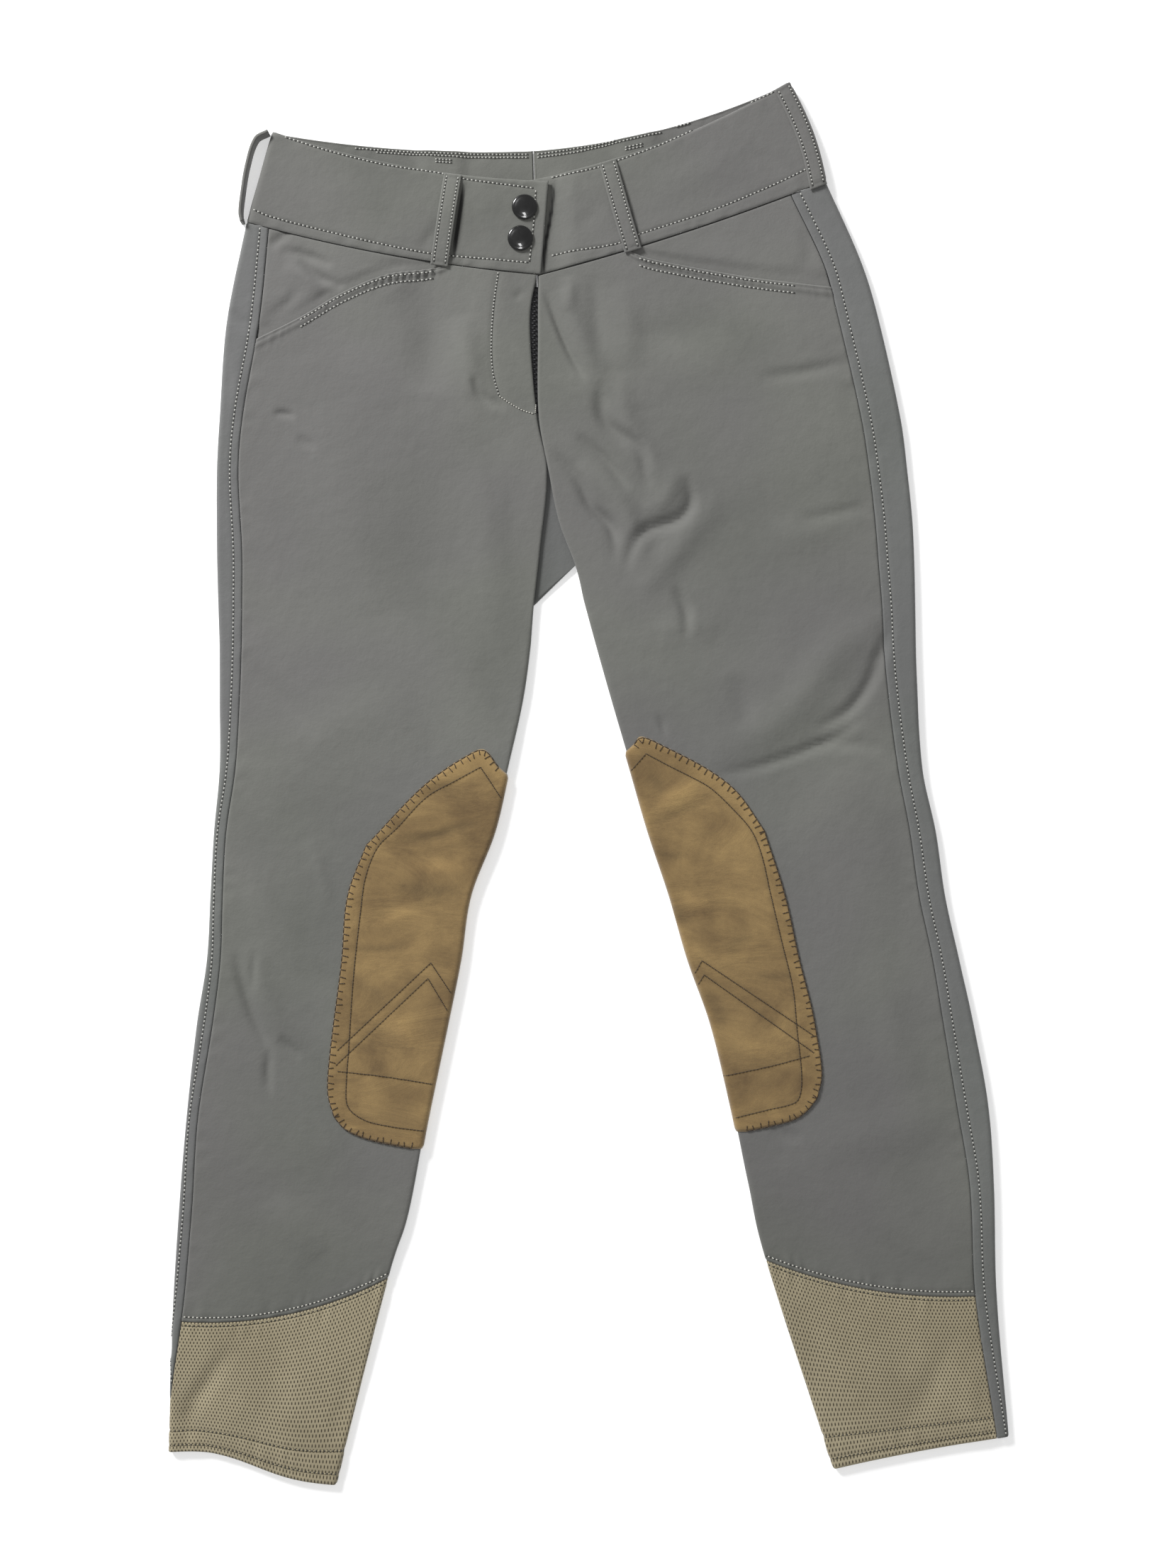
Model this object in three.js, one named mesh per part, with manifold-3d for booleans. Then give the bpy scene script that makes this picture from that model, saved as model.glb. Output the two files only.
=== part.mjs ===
// Riding breeches laid flat with the front up, snaps closed.
// Millimetres, +Z up, +Y towards the waist. The origin is on the surface below the middle of the outline.
// Right and left are the wearer's own, so the right leg lies on the -X side.
import * as THREE from 'three';
import Module from 'manifold-3d';
import { mergeVertices } from 'three/addons/utils/BufferGeometryUtils.js';

const wasm = await Module();
wasm.setup();

// Wall thicknesses and the space between sewn pieces
const CLOTH = 1.2;
const SUEDE = 1.3;
const KNIT = 1.2;
const FACING = 1.0;
const BAND = 2.2;
const LOOP = 1.5;
const SEAM_GAP = 0.3;
const OUTSEAM_GAP = 0.5;
const PATCH_LIFT = SUEDE + SEAM_GAP;
const LOOP_LIFT = LOOP + SEAM_GAP;

// Waistband closure: the left end runs under the right end
const BAND_HEIGHT = 6.9;
const UNDERLAP = 21;
const UNDERLAP_DIP = 2.1;
const UNDERLAP_SLOPE = { from: -25, to: -8 };
const OVERLAP_RISE = 0.5;
const OVERLAP_SLOPE = { from: -84, to: -62 };

// Snaps, belt loops, pockets, fly and crotch
const SNAP_RADIUS = 8.9;
const SNAP_HEIGHT = 2.9;
const SNAP_SIDES = 16;
const LOOP_WIDTH = 12.5;
const LOOP_BULGE = 0.9;
const LOOP_TOP = 0.5;
const LOOP_PAST_BAND = 2.5;
const LOOP_SHORT_BEHIND = 1;
const SIDE_BULGE = 3.6;
const SIDE_LOOP_THICK = 2.4;
const SIDE_LOOP_WIDTH = 10.2;
const FACING_UNDER = 12;
const FACING_PART = 0.735;
const CROTCH_FOLD = 2.4;
const ZIP = { middle: -38, top: 351, foot: 262, halfWidth: 7, bow: 5, taper: 2, thick: 1.3, face: 4.6 };

// The back panel's strip that runs on to the hem, measured from the outer fold along the back
const STRIP_BEHIND = 14;

// The pocket mouth lies within MOUTH_DROP below the waist, and the front's rows are level below MOUTH_CLEAR
const MOUTH_DROP = 118;
const MOUTH_CLEAR = 148;

// Just below the fork, where the inner folds are closed
const CROTCH_LEVEL = 110;

// Grid of each wall
const FRONT_COLUMNS = 12;
const BACK_COLUMNS = 7;
const FAR_COLUMNS = 4;
const BEND_COLUMNS = 3;
const FOLD_REACH = 8;
const LEAST_STEP = 0.8;
const DENSE_TO_CENTRE = 1.45;
const MOUTH_ROWS = 8;
const HIP_ROWS = 8;
const SEAT_ROWS = 11;
const THIGH_ROWS = 3;
const CALF_ROWS = 4;
const CUFF_ROWS = 5;
const SEARCH_STEPS = 24;

function table(names, rows) {
  return rows.map((row) => Object.fromEntries(names.map((name, k) => [name, row[k]])));
}

// Each row is one section across a half of the garment, from the outer fold at (outX, level) to the
// inner edge of the front and of the back. bow and wave bend the row towards the hem, high is its height
// on the surface, seam is how far the outseam lies in from the outer fold and curl how far the inner
// edges turn towards each other (1 is a closed inner fold).
const SECTION = ['level', 'outX', 'frontX', 'frontY', 'backX', 'backY', 'bow', 'backBow', 'wave', 'high',
  'seam', 'curl'];

const RIGHT_BAND = table(SECTION, [
  [460.5, -223.3, -27.8, 425.0, -38.8, 448.0, 7.5, 5.0, 0, BAND_HEIGHT, 0, 0],
  [396.5, -241.3, -33.3, 359.5, -36.8, 384.5, 5.0, 4.0, 0, BAND_HEIGHT, 0, 0],
]);

const LEFT_BAND = table(SECTION, [
  [495.5, 141.8, -35.0, 427.5, -38.8, 448.0, 8.0, 8.5, 0, BAND_HEIGHT, 0, 0],
  [425.5, 167.8, -35.3, 359.5, -36.8, 384.5, 3.5, 6.0, 0, BAND_HEIGHT, 0, 0],
]);

const RIGHT_LEG = table(SECTION, [
  [396.5, -241.3, -35.9, 359.5, -36.8, 384.5, 5.0, 4.0, 0, 6.3, 16.5, 0],
  [326.0, -255.3, -40.8, 325.0, -35.3, 328.5, 2.0, 1.0, 0, 6.3, 23.0, 0],
  [258.5, -260.3, -35.8, 258.5, -32.3, 258.5, 0, 0, 0, 6.2, 16.5, 0],
  [221.0, -262.3, -28.8, 221.0, -31.3, 221.0, 0, 0, 0, 5.8, 15.5, 0],
  [165.0, -262.3, -33.8, 165.0, -35.3, 165.0, 0, 0, 0, 5.2, 18.0, 0],
  [123.0, -261.3, -38.3, 123.0, -38.3, 123.0, 0, 0, 0, 5.2, 17.0, 0.35],
  [100.0, -260.5, -40.0, 100.0, -40.0, 100.0, 0, 0, 0, 5.6, 16.0, 1],
  [60.0, -260.3, -45.5, 60.0, -45.5, 60.0, 0, 0, 0, 6.2, 14.5, 1],
  [11.0, -260.3, -56.3, 11.0, -56.3, 11.0, 0, 0, 0, 6.3, 11.5, 1],
  [-34.0, -264.3, -66.8, -34.0, -66.8, -34.0, 0, 0, 0, 6.3, 9.0, 1],
  [-79.0, -266.8, -83.8, -79.0, -83.8, -79.0, 0, 0, 0, 6.3, 9.0, 1],
  [-124.0, -269.3, -90.8, -124.0, -90.8, -124.0, 0, 0, 0, 6.3, 10.0, 1],
  [-169.0, -276.3, -99.8, -169.0, -99.8, -169.0, 0, 0, 0, 6.3, 11.5, 1],
  [-236.5, -283.8, -113.8, -236.5, -113.8, -236.5, 0, 0, 0, 6.2, 8.5, 1],
  [-304.0, -289.3, -126.8, -304.0, -126.8, -304.0, 1.5, 1.5, 0, 6.0, 9.5, 1],
  [-379.0, -293.8, -140.8, -348.5, -140.8, -348.5, 11.5, 11.5, 0, 5.6, 6.5, 1],
  [-472.0, -296.8, -178.0, -495.3, -178.0, -495.3, -2.5, -2.5, -3.5, 5.0, -5.0, 1],
]);

const LEFT_LEG = table(SECTION, [
  [425.5, 167.8, -35.0, 358.6, -36.8, 384.5, 3.5, 6.0, 0, 6.3, 26.5, 0],
  [371.0, 192.2, -35.4, 336.0, -35.8, 350.0, 2.5, 2.5, 0, 6.3, 26.0, 0],
  [333.5, 204.0, -35.4, 318.0, -35.3, 328.5, 1.0, 1.0, 0, 6.3, 28.0, 0],
  [258.5, 220.8, -34.8, 258.5, -32.3, 258.5, 0, 0, 0, 6.2, 28.0, 0],
  [220.0, 225.8, -27.8, 220.0, -30.3, 220.0, 0, 0, 0, 5.8, 27.0, 0],
  [186.0, 229.3, -20.8, 186.0, -21.8, 186.0, 0, 0, 0, 5.2, 26.5, 0],
  [154.5, 230.8, -9.3, 154.5, -9.3, 154.5, 0, 0, 0, 5.2, 25.5, 0.35],
  [131.0, 231.2, -3.6, 131.0, -3.6, 131.0, 0, 0, 0, 5.6, 24.0, 1],
  [78.5, 232.3, 10.8, 78.5, 10.8, 78.5, 0, 0, 0, 6.2, 22.0, 1],
  [11.0, 236.3, 30.3, 11.0, 30.3, 11.0, 0, 0, 0, 6.3, 17.5, 1],
  [-34.0, 245.8, 43.3, -34.0, 43.3, -34.0, 0, 0, 0, 6.3, 18.5, 1],
  [-79.0, 252.3, 58.3, -79.0, 58.3, -79.0, 0, 0, 0, 6.3, 18.5, 1],
  [-124.0, 262.3, 71.3, -124.0, 71.3, -124.0, 0, 0, 0, 6.3, 19.0, 1],
  [-169.0, 272.3, 87.3, -169.0, 87.3, -169.0, 0, 0, 0, 6.3, 21.5, 1],
  [-226.5, 282.8, 101.3, -226.5, 101.3, -226.5, 0, 0, 0, 6.2, 22.5, 1],
  [-281.5, 286.8, 112.8, -281.5, 112.8, -281.5, 1.0, 1.0, 0, 6.0, 17.5, 1],
  [-360.5, 288.8, 125.3, -336.0, 125.3, -336.0, 10.0, 10.0, 0, 5.6, 15.0, 1],
  [-461.0, 297.4, 173.3, -484.0, 173.3, -484.0, -1.5, -1.5, 0, 5.0, 8.5, 1],
]);

// Pocket mouths, as points of the free edge from the outseam to the waist seam
const POINT = ['x', 'y'];
const RIGHT_MOUTH = table(POINT, [[-232, 315], [-203, 329.5], [-173, 347], [-142, 359.5], [-109, 363.8],
  [-80, 372]]);
const LEFT_MOUTH = table(POINT, [[168, 351], [146, 353.5], [111, 358], [58, 367.5], [36, 373], [10, 386]]);

// Largest folds of the front: a line from (x0, y0) to (x1, y1) that bends sideways, its half width, and
// its height, below zero for a trough
const CREASE = ['x0', 'y0', 'x1', 'y1', 'bend', 'width', 'height'];
const RIGHT_CREASES = table(CREASE, [
  [-186, 250, -140, 120, 6, 26, 1.2],
  [-110, 300, -62, 262, 4, 9, -1.6],
  [-92, 292, -50, 266, 5, 9, 1.2],
  [-238, 268, -180, 242, -3, 9, -1.3],
  [-75, 240, -58, 90, -4, 14, 1.4],
  [-120, 60, -215, 20, 6, 16, 1.0],
  [-246, -120, -214, -200, 5, 9, -1.8],
  [-238, -110, -196, -205, 6, 10, 1.3],
  [-222, -290, -190, -335, 3, 12, 1.0],
]);
const LEFT_CREASES = table(CREASE, [
  [-30, 346, -1, 278, 1, 6, -2.0],
  [-18, 350, 16, 268, 2, 9, 2.0],
  [8, 290, 46, 206, 6, 7, -2.4],
  [22, 290, 62, 204, 6, 9, 1.8],
  [-12, 252, 32, 206, 5, 6, -1.8],
  [-26, 236, 22, 154, -7, 7, -2.2],
  [-8, 222, 42, 150, -8, 9, 2.2],
  [20, 140, 80, 212, -8, 8, -2.6],
  [34, 132, 96, 204, -8, 10, 1.8],
  [60, 152, 68, 98, 2, 8, -1.6],
  [128, 286, 198, 304, -2, 9, -1.5],
  [144, 182, 202, 200, -2, 9, -1.6],
  [86, 4, 236, 104, 18, 10, -2.4],
  [82, 18, 230, 122, 18, 12, 1.6],
  [150, -250, 262, -225, 3, 16, 0.9],
  [206, -120, 226, -215, -3, 12, 0.9],
]);

// Knee patch outlines. reach is the distance from the inner fold, forwards on the front
const OUTLINE = ['reach', 'y'];
const RIGHT_PATCH = {
  top: table(OUTLINE, [[88, -43], [73, -19.5], [56, 1.5], [35, 18.5], [22, 24.5], [FOLD_REACH, 12]]),
  side: table(OUTLINE, [[88, -43], [87.5, -75], [84, -130], [79.5, -188], [75, -218], [67, -235]]),
  bottom: table(OUTLINE, [[67, -235], [57, -244], [42, -250], [24, -254], [FOLD_REACH, -256.5]]),
};
const LEFT_PATCH = {
  top: table(OUTLINE, [[83, -33], [72, -6], [57, 9.5], [30, 26.5], [15, 33.5], [FOLD_REACH, 28]]),
  side: table(OUTLINE, [[83, -33], [82.5, -75], [79, -128], [73.5, -175], [70, -205], [63, -221.5]]),
  bottom: table(OUTLINE, [[63, -221.5], [54, -230.5], [44, -236.5], [27, -241], [FOLD_REACH, -244.5]]),
};

// The patch behind the leg: how far its top drops, how wide it is there, its corners and its slight swell
const PATCH_BEHIND = {
  drop: 32, middle: 62, corner: 9, swell: 1, swellLevel: -130, lowerIn: 3, lowerTurn: 13,
};
const PATCH_ROWS = 10;
const PATCH_COLUMNS = 7;
const PATCH_BACK_COLUMNS = 4;

function slopeAt(rows, key, by, k) {
  const before = rows[Math.max(k - 1, 0)];
  const after = rows[Math.min(k + 1, rows.length - 1)];
  return (after[key] - before[key]) / (after[by] - before[by]);
}

// Smooth value of one named column, at a value of the column that orders the rows
function sample(rows, key, by, at) {
  const falling = rows[1][by] < rows[0][by];
  let k = 0;
  while (k < rows.length - 2 && (falling ? at < rows[k + 1][by] : at > rows[k + 1][by])) {
    k += 1;
  }
  const low = rows[k];
  const high = rows[k + 1];
  const span = high[by] - low[by];
  const t = (at - low[by]) / span;
  if (t < 0 || t > 1) {
    const end = t < 0 ? k : k + 1;
    return rows[end][key] + slopeAt(rows, key, by, end) * (at - rows[end][by]);
  }
  const t2 = t * t;
  const t3 = t2 * t;
  return low[key] * (2 * t3 - 3 * t2 + 1) + high[key] * (3 * t2 - 2 * t3)
    + slopeAt(rows, key, by, k) * span * (t3 - 2 * t2 + t)
    + slopeAt(rows, key, by, k + 1) * span * (t3 - t2);
}

function smooth(from, to, value) {
  return THREE.MathUtils.smoothstep((value - from) / (to - from), 0, 1);
}

function creaseRise(creases, x, y) {
  let rise = 0;
  for (const crease of creases) {
    const dx = crease.x1 - crease.x0;
    const dy = crease.y1 - crease.y0;
    const length = Math.hypot(dx, dy);
    const along = ((x - crease.x0) * dx + (y - crease.y0) * dy) / (length * length);
    if (along > 0 && along < 1) {
      const side = ((x - crease.x0) * dy - (y - crease.y0) * dx) / length;
      const off = (side - crease.bend * 4 * along * (1 - along)) / crease.width;
      rise += crease.height * Math.sin(Math.PI * along) * Math.exp(-off * off);
    }
  }
  return rise;
}

// A flattened half tube. A place on it is a level and a run, the length of cloth from the outer fold:
// above zero over the front, below zero under the back. depth goes into the wall from its outer face.
class HalfTube {
  constructor(rows, { rise = () => 0, lift = () => 0 } = {}) {
    this.rows = rows;
    this.rise = rise;
    this.lift = lift;
  }

  section(level) {
    const row = { level };
    for (const key of SECTION.slice(1)) {
      row[key] = sample(this.rows, key, 'level', level);
    }
    row.curl = THREE.MathUtils.clamp(row.curl, 0, 1);
    row.outRadius = row.high / 2;
    return row;
  }

  // The sizes of one layer of a section: its width, where its inner bend starts and where it ends
  layer(row, front) {
    const x = front ? row.frontX : row.backX;
    const y = front ? row.frontY : row.backY;
    const width = Math.hypot(x - row.outX, y - row.level);
    const radius = (row.high - this.lift(row.level, 0, width) - SEAM_GAP) / 2;
    const turn = row.curl * Math.PI / 2;
    const bendStart = width - radius * Math.sin(turn);
    const bendRun = row.outRadius * (Math.PI / 2 - 1) + bendStart;
    return { x, y, width, radius, bendStart, bendRun, end: bendRun + radius * turn };
  }

  end(level, front) {
    return this.layer(this.section(level), front).end;
  }

  // The run at a distance in from the outer fold, seen from above
  runAt(level, inward) {
    const radius = this.section(level).outRadius;
    if (inward >= radius) {
      return inward + radius * (Math.PI / 2 - 1);
    }
    return Math.sign(inward) * radius * Math.acos(1 - Math.min(Math.abs(inward), radius) / radius);
  }

  point(level, run, depth) {
    const row = this.section(level);
    const front = run >= 0;
    const layer = this.layer(row, front);
    const length = Math.abs(run);
    const flip = front ? 1 : -1;
    const lift = front ? 0 : this.lift(level, Math.max(layer.end - length, 0), layer.width);
    const face = front ? row.high : lift;
    let inward = length - row.outRadius * (Math.PI / 2 - 1);
    let z = face;
    let normalIn = 0;
    let normalUp = flip;
    if (length < row.outRadius * Math.PI / 2) {
      const angle = length / row.outRadius;
      inward = row.outRadius * (1 - Math.cos(angle));
      z = row.outRadius * (1 + flip * Math.sin(angle));
      normalIn = -Math.cos(angle);
      normalUp = flip * Math.sin(angle);
    } else if (row.curl > 0 && length > layer.bendRun) {
      const angle = (length - layer.bendRun) / layer.radius;
      inward = layer.bendStart + layer.radius * Math.sin(angle);
      z = face - flip * layer.radius * (1 - Math.cos(angle));
      normalIn = Math.sin(angle);
      normalUp = flip * Math.cos(angle);
    }
    const outer = this.spread(row, layer, inward, front);
    const weight = (z / row.high) ** 2;
    const at = this.spread(row, layer, inward - normalIn * depth, front);
    return new THREE.Vector3(at.x, at.y, z - normalUp * depth + weight * this.rise(outer.x, outer.y));
  }

  // The place in plan of a distance along the row, with the row's bow and wave
  spread(row, layer, inward, front) {
    const dx = (layer.x - row.outX) / layer.width;
    const dy = (layer.y - row.level) / layer.width;
    const part = inward / layer.width;
    const bow = front ? row.bow : row.backBow;
    const sag = bow * 4 * part * (1 - part) + row.wave * Math.sin(2 * Math.PI * part);
    const down = Math.sign(dx) * sag;
    return { x: row.outX + dx * inward + dy * down, y: row.level + dy * inward - dx * down };
  }
}

// A closed wall on a grid of places. place(i, j, inside) gives a point of its outer or inner face, and
// keep says which cells of the grid are cloth.
function wall(columns, rows, place, keep = () => true) {
  const positions = [];
  for (let j = 0; j <= rows; j += 1) {
    for (let i = 0; i <= columns; i += 1) {
      for (const inside of [false, true]) {
        positions.push(...place(i, j, inside).toArray());
      }
    }
  }
  const kept = (i, j) => i >= 0 && j >= 0 && i < columns && j < rows && keep(i, j);
  const at = (i, j) => 2 * (j * (columns + 1) + i);
  const faces = [];
  const quad = (a, b, c, d) => faces.push(a, b, c, a, c, d);
  for (let j = 0; j < rows; j += 1) {
    for (let i = 0; i < columns; i += 1) {
      if (kept(i, j)) {
        const corners = [at(i, j), at(i + 1, j), at(i + 1, j + 1), at(i, j + 1)];
        const beside = [kept(i, j - 1), kept(i + 1, j), kept(i, j + 1), kept(i - 1, j)];
        quad(...corners);
        quad(...corners.map((corner) => corner + 1).reverse());
        corners.forEach((corner, k) => {
          const next = corners[(k + 1) % 4];
          if (!beside[k]) {
            quad(next, corner, corner + 1, next + 1);
          }
        });
      }
    }
  }
  const geometry = new THREE.BufferGeometry();
  geometry.setAttribute('position', new THREE.Float32BufferAttribute(positions, 3));
  geometry.setIndex(faces);
  return outward(geometry);
}

function signedVolume(geometry) {
  const place = geometry.getAttribute('position');
  const index = geometry.getIndex().array;
  const corner = [new THREE.Vector3(), new THREE.Vector3(), new THREE.Vector3()];
  let volume = 0;
  for (let k = 0; k < index.length; k += 3) {
    corner.forEach((point, n) => point.fromBufferAttribute(place, index[k + n]));
    volume += corner[0].dot(corner[1].cross(corner[2])) / 6;
  }
  return volume;
}

// Turns the faces round when they point into the wall
function outward(geometry) {
  if (signedVolume(geometry) < 0) {
    const index = geometry.getIndex().array;
    for (let k = 0; k < index.length; k += 3) {
      [index[k + 1], index[k + 2]] = [index[k + 2], index[k + 1]];
    }
  }
  return geometry;
}

function toManifold(geometry) {
  const bare = geometry.clone();
  bare.deleteAttribute('normal');
  bare.deleteAttribute('uv');
  const merged = mergeVertices(bare);
  return new wasm.Manifold(new wasm.Mesh({
    numProp: 3,
    vertProperties: new Float32Array(merged.getAttribute('position').array),
    triVerts: new Uint32Array(merged.getIndex().array),
  }));
}

function fromManifold(solid) {
  const mesh = solid.getMesh();
  const geometry = new THREE.BufferGeometry();
  geometry.setAttribute('position', new THREE.Float32BufferAttribute(mesh.vertProperties, 3));
  geometry.setIndex(Array.from(mesh.triVerts));
  return geometry;
}

function joined(first, second) {
  return fromManifold(toManifold(first).add(toManifold(second)));
}

function span(from, to, count) {
  return Array.from({ length: count + 1 }, (_, k) => THREE.MathUtils.lerp(from, to, k / count));
}

// How high the back stands over the knee patch that is wrapped under it
const LIFT_NEAR = 4;
const LIFT_FAR = 22;
const patchLift = (bottom, top) => (level, reach) => {
  const across = 1 - smooth(PATCH_BEHIND.middle + LIFT_NEAR, PATCH_BEHIND.middle + LIFT_FAR, reach);
  const below = smooth(bottom - LIFT_FAR, bottom - LIFT_NEAR, level);
  const above = 1 - smooth(top + LIFT_NEAR, top + LIFT_FAR, level);
  return PATCH_LIFT * across * below * above;
};

// The levels of a leg's rows below the crotch, with rows where the back rises over the knee patch
function legLevels(half) {
  const bottom = half.patch.bottom.at(-1).y;
  const top = half.patch.top.at(-1).y;
  const thigh = span(CROTCH_LEVEL, top + LIFT_FAR, THIGH_ROWS).slice(1);
  const knee = [top + LIFT_NEAR, ...span(top, bottom, PATCH_ROWS), bottom - LIFT_NEAR];
  const calf = span(bottom - LIFT_FAR, half.cuffLevel + OUTSEAM_GAP / 2, CALF_ROWS);
  return [...thigh, ...knee, ...calf];
}

// The same for the band over the belt loops, whose places are parts of its width
const BACK_LOOP_PLACE = { right: 0.656, left: 0.612 };
const LIFT_TOP = LOOP_WIDTH / 2 + 2;
const LIFT_FOOT = LOOP_WIDTH / 2 + 14;
const loopLift = (part) => (level, reach, width) => {
  const off = Math.abs(reach - width * (1 - part));
  return LOOP_LIFT * (1 - smooth(LIFT_TOP, LIFT_FOOT, off));
};

// The two halves of the garment
const halves = {
  right: {
    leg: new HalfTube(RIGHT_LEG, {
      rise: (x, y) => creaseRise(RIGHT_CREASES, x, y),
      lift: patchLift(RIGHT_PATCH.bottom.at(-1).y, RIGHT_PATCH.top.at(-1).y),
    }),
    band: new HalfTube(RIGHT_BAND, {
      rise: (x) => OVERLAP_RISE * smooth(OVERLAP_SLOPE.from, OVERLAP_SLOPE.to, x),
      lift: loopLift(BACK_LOOP_PLACE.right),
    }),
    mouth: RIGHT_MOUTH,
    patch: RIGHT_PATCH,
    cuffLevel: RIGHT_LEG.at(-2).level,
    hemLevel: RIGHT_LEG.at(-1).level,
    underlap: 0,
    backLoop: BACK_LOOP_PLACE.right,
  },
  left: {
    leg: new HalfTube(LEFT_LEG, {
      rise: (x, y) => creaseRise(LEFT_CREASES, x, y),
      lift: patchLift(LEFT_PATCH.bottom.at(-1).y, LEFT_PATCH.top.at(-1).y),
    }),
    band: new HalfTube(LEFT_BAND, {
      rise: (x) => -UNDERLAP_DIP * (1 - smooth(UNDERLAP_SLOPE.from, UNDERLAP_SLOPE.to, x)),
      lift: loopLift(BACK_LOOP_PLACE.left),
    }),
    mouth: LEFT_MOUTH,
    patch: LEFT_PATCH,
    cuffLevel: LEFT_LEG.at(-2).level,
    hemLevel: LEFT_LEG.at(-1).level,
    underlap: UNDERLAP,
    backLoop: BACK_LOOP_PLACE.left,
  },
};

function waistLevel(half) {
  return half.leg.rows[0].level - SEAM_GAP;
}

function seamRun(half, level) {
  return half.leg.runAt(level, half.leg.section(level).seam);
}

// How far from the inner edge each of the columns of the inner bend lies, from none to the last
function bendReach(leg, level, front, column) {
  const layer = leg.layer(leg.section(level), front);
  const bend = Math.max(layer.end - layer.bendRun, FOLD_REACH / 3);
  return [FOLD_REACH, bend, bend / 2, 0][column];
}

// A front column's run: evenly finer from the outseam to the centre, then the inner bend
function frontRun(half, column, level) {
  const start = seamRun(half, level) + OUTSEAM_GAP / 2;
  const end = half.leg.end(level, true) - (half.leg.section(level).curl < 1 ? SEAM_GAP / 2 : 0);
  if (column <= FRONT_COLUMNS) {
    const part = 1 - (1 - column / FRONT_COLUMNS) ** DENSE_TO_CENTRE;
    return start + (end - FOLD_REACH - start) * part;
  }
  return end - bendReach(half.leg, level, true, column - FRONT_COLUMNS);
}

// The level at which the run of a column meets the pocket mouth, or the waist seam if that is lower
function mouthLevel(half, runFor) {
  const top = waistLevel(half);
  let low = top - MOUTH_DROP;
  let high = top;
  const over = (level) => {
    const point = half.leg.point(level, runFor(level), 0);
    return point.y > sample(half.mouth, 'y', 'x', point.x);
  };
  if (!over(high)) {
    return top;
  }
  for (let step = 0; step < SEARCH_STEPS; step += 1) {
    const middle = (low + high) / 2;
    if (over(middle)) {
      high = middle;
    } else {
      low = middle;
    }
  }
  return low;
}

function frontPanel(half) {
  const columns = FRONT_COLUMNS + BEND_COLUMNS;
  const blend = waistLevel(half) - MOUTH_CLEAR;
  const lower = [...span(blend, CROTCH_LEVEL, HIP_ROWS).slice(1), ...legLevels(half)];
  const tops = span(0, columns, columns)
    .map((column) => mouthLevel(half, (level) => frontRun(half, column, level)));
  const place = (i, j, inside) => {
    const nearMouth = THREE.MathUtils.lerp(tops[i], blend, j / MOUTH_ROWS);
    const level = j <= MOUTH_ROWS ? nearMouth : lower[j - MOUTH_ROWS - 1];
    return half.leg.point(level, frontRun(half, i, level), inside ? CLOTH : 0);
  };
  return wall(columns, MOUTH_ROWS + lower.length, place);
}

function pocketFacing(half) {
  const columns = 8;
  const rows = 4;
  const inner = half.leg.end(waistLevel(half), true) * FACING_PART;
  const place = (i, j, inside) => {
    const runFor = (level) => THREE.MathUtils.lerp(seamRun(half, level) + SEAM_GAP, inner, i / columns);
    const foot = mouthLevel(half, runFor) - FACING_UNDER;
    const level = THREE.MathUtils.lerp(waistLevel(half), foot, j / rows);
    const depth = CLOTH + SEAM_GAP + (inside ? FACING : 0);
    return half.leg.point(level, runFor(level), depth);
  };
  return wall(columns, rows, place);
}

// Back columns: from the outseam round the outer fold, across the strip, the back and the inner bend
const STRIP_STATIONS = 7;
function backRun(half, column, level) {
  const leg = half.leg;
  const quarter = leg.section(level).outRadius * Math.PI / 2;
  const seam = seamRun(half, level) - OUTSEAM_GAP / 2;
  if (column <= STRIP_STATIONS) {
    const wanted = [seam, (seam + quarter) / 2, quarter, quarter / 2, 0, -quarter / 2, -quarter];
    let run = seam;
    for (let k = 1; k <= Math.min(column, wanted.length - 1); k += 1) {
      run = Math.min(wanted[k], run - LEAST_STEP);
    }
    return column === STRIP_STATIONS ? -STRIP_BEHIND : run;
  }
  const end = -leg.end(level, false) + (leg.section(level).curl < 1 ? SEAM_GAP / 2 : 0);
  const far = end + PATCH_BEHIND.middle + LIFT_FAR;
  const near = end + PATCH_BEHIND.middle + LIFT_NEAR;
  const body = column - STRIP_STATIONS;
  if (body < FAR_COLUMNS) {
    return THREE.MathUtils.lerp(-STRIP_BEHIND, far, body / FAR_COLUMNS);
  }
  if (body < FAR_COLUMNS + 1) {
    return far;
  }
  if (body < BACK_COLUMNS) {
    const first = FAR_COLUMNS + 1;
    return THREE.MathUtils.lerp(near, end + FOLD_REACH, (body - first) / (BACK_COLUMNS - first));
  }
  return end + bendReach(leg, level, false, body - BACK_COLUMNS);
}

function backPanel(half) {
  const upper = span(waistLevel(half), CROTCH_LEVEL, SEAT_ROWS);
  const middle = legLevels(half);
  const strip = span(half.cuffLevel, half.hemLevel, CUFF_ROWS).slice(1);
  const levels = [...upper, ...middle, ...strip];
  const cuffRow = upper.length + middle.length - 1;
  const columns = STRIP_STATIONS + BACK_COLUMNS + BEND_COLUMNS;
  const place = (i, j, inside) => {
    const level = levels[j];
    return half.leg.point(level, backRun(half, i, level), inside ? CLOTH : 0);
  };
  return wall(columns, levels.length - 1, place, (i, j) => j < cuffRow || i < STRIP_STATIONS);
}

// The run at a distance from the inner fold, forwards on the front and back on the back
function runFromFold(leg, level, reach) {
  return reach >= 0 ? leg.end(level, true) - reach : -(leg.end(level, false) + reach);
}

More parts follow.
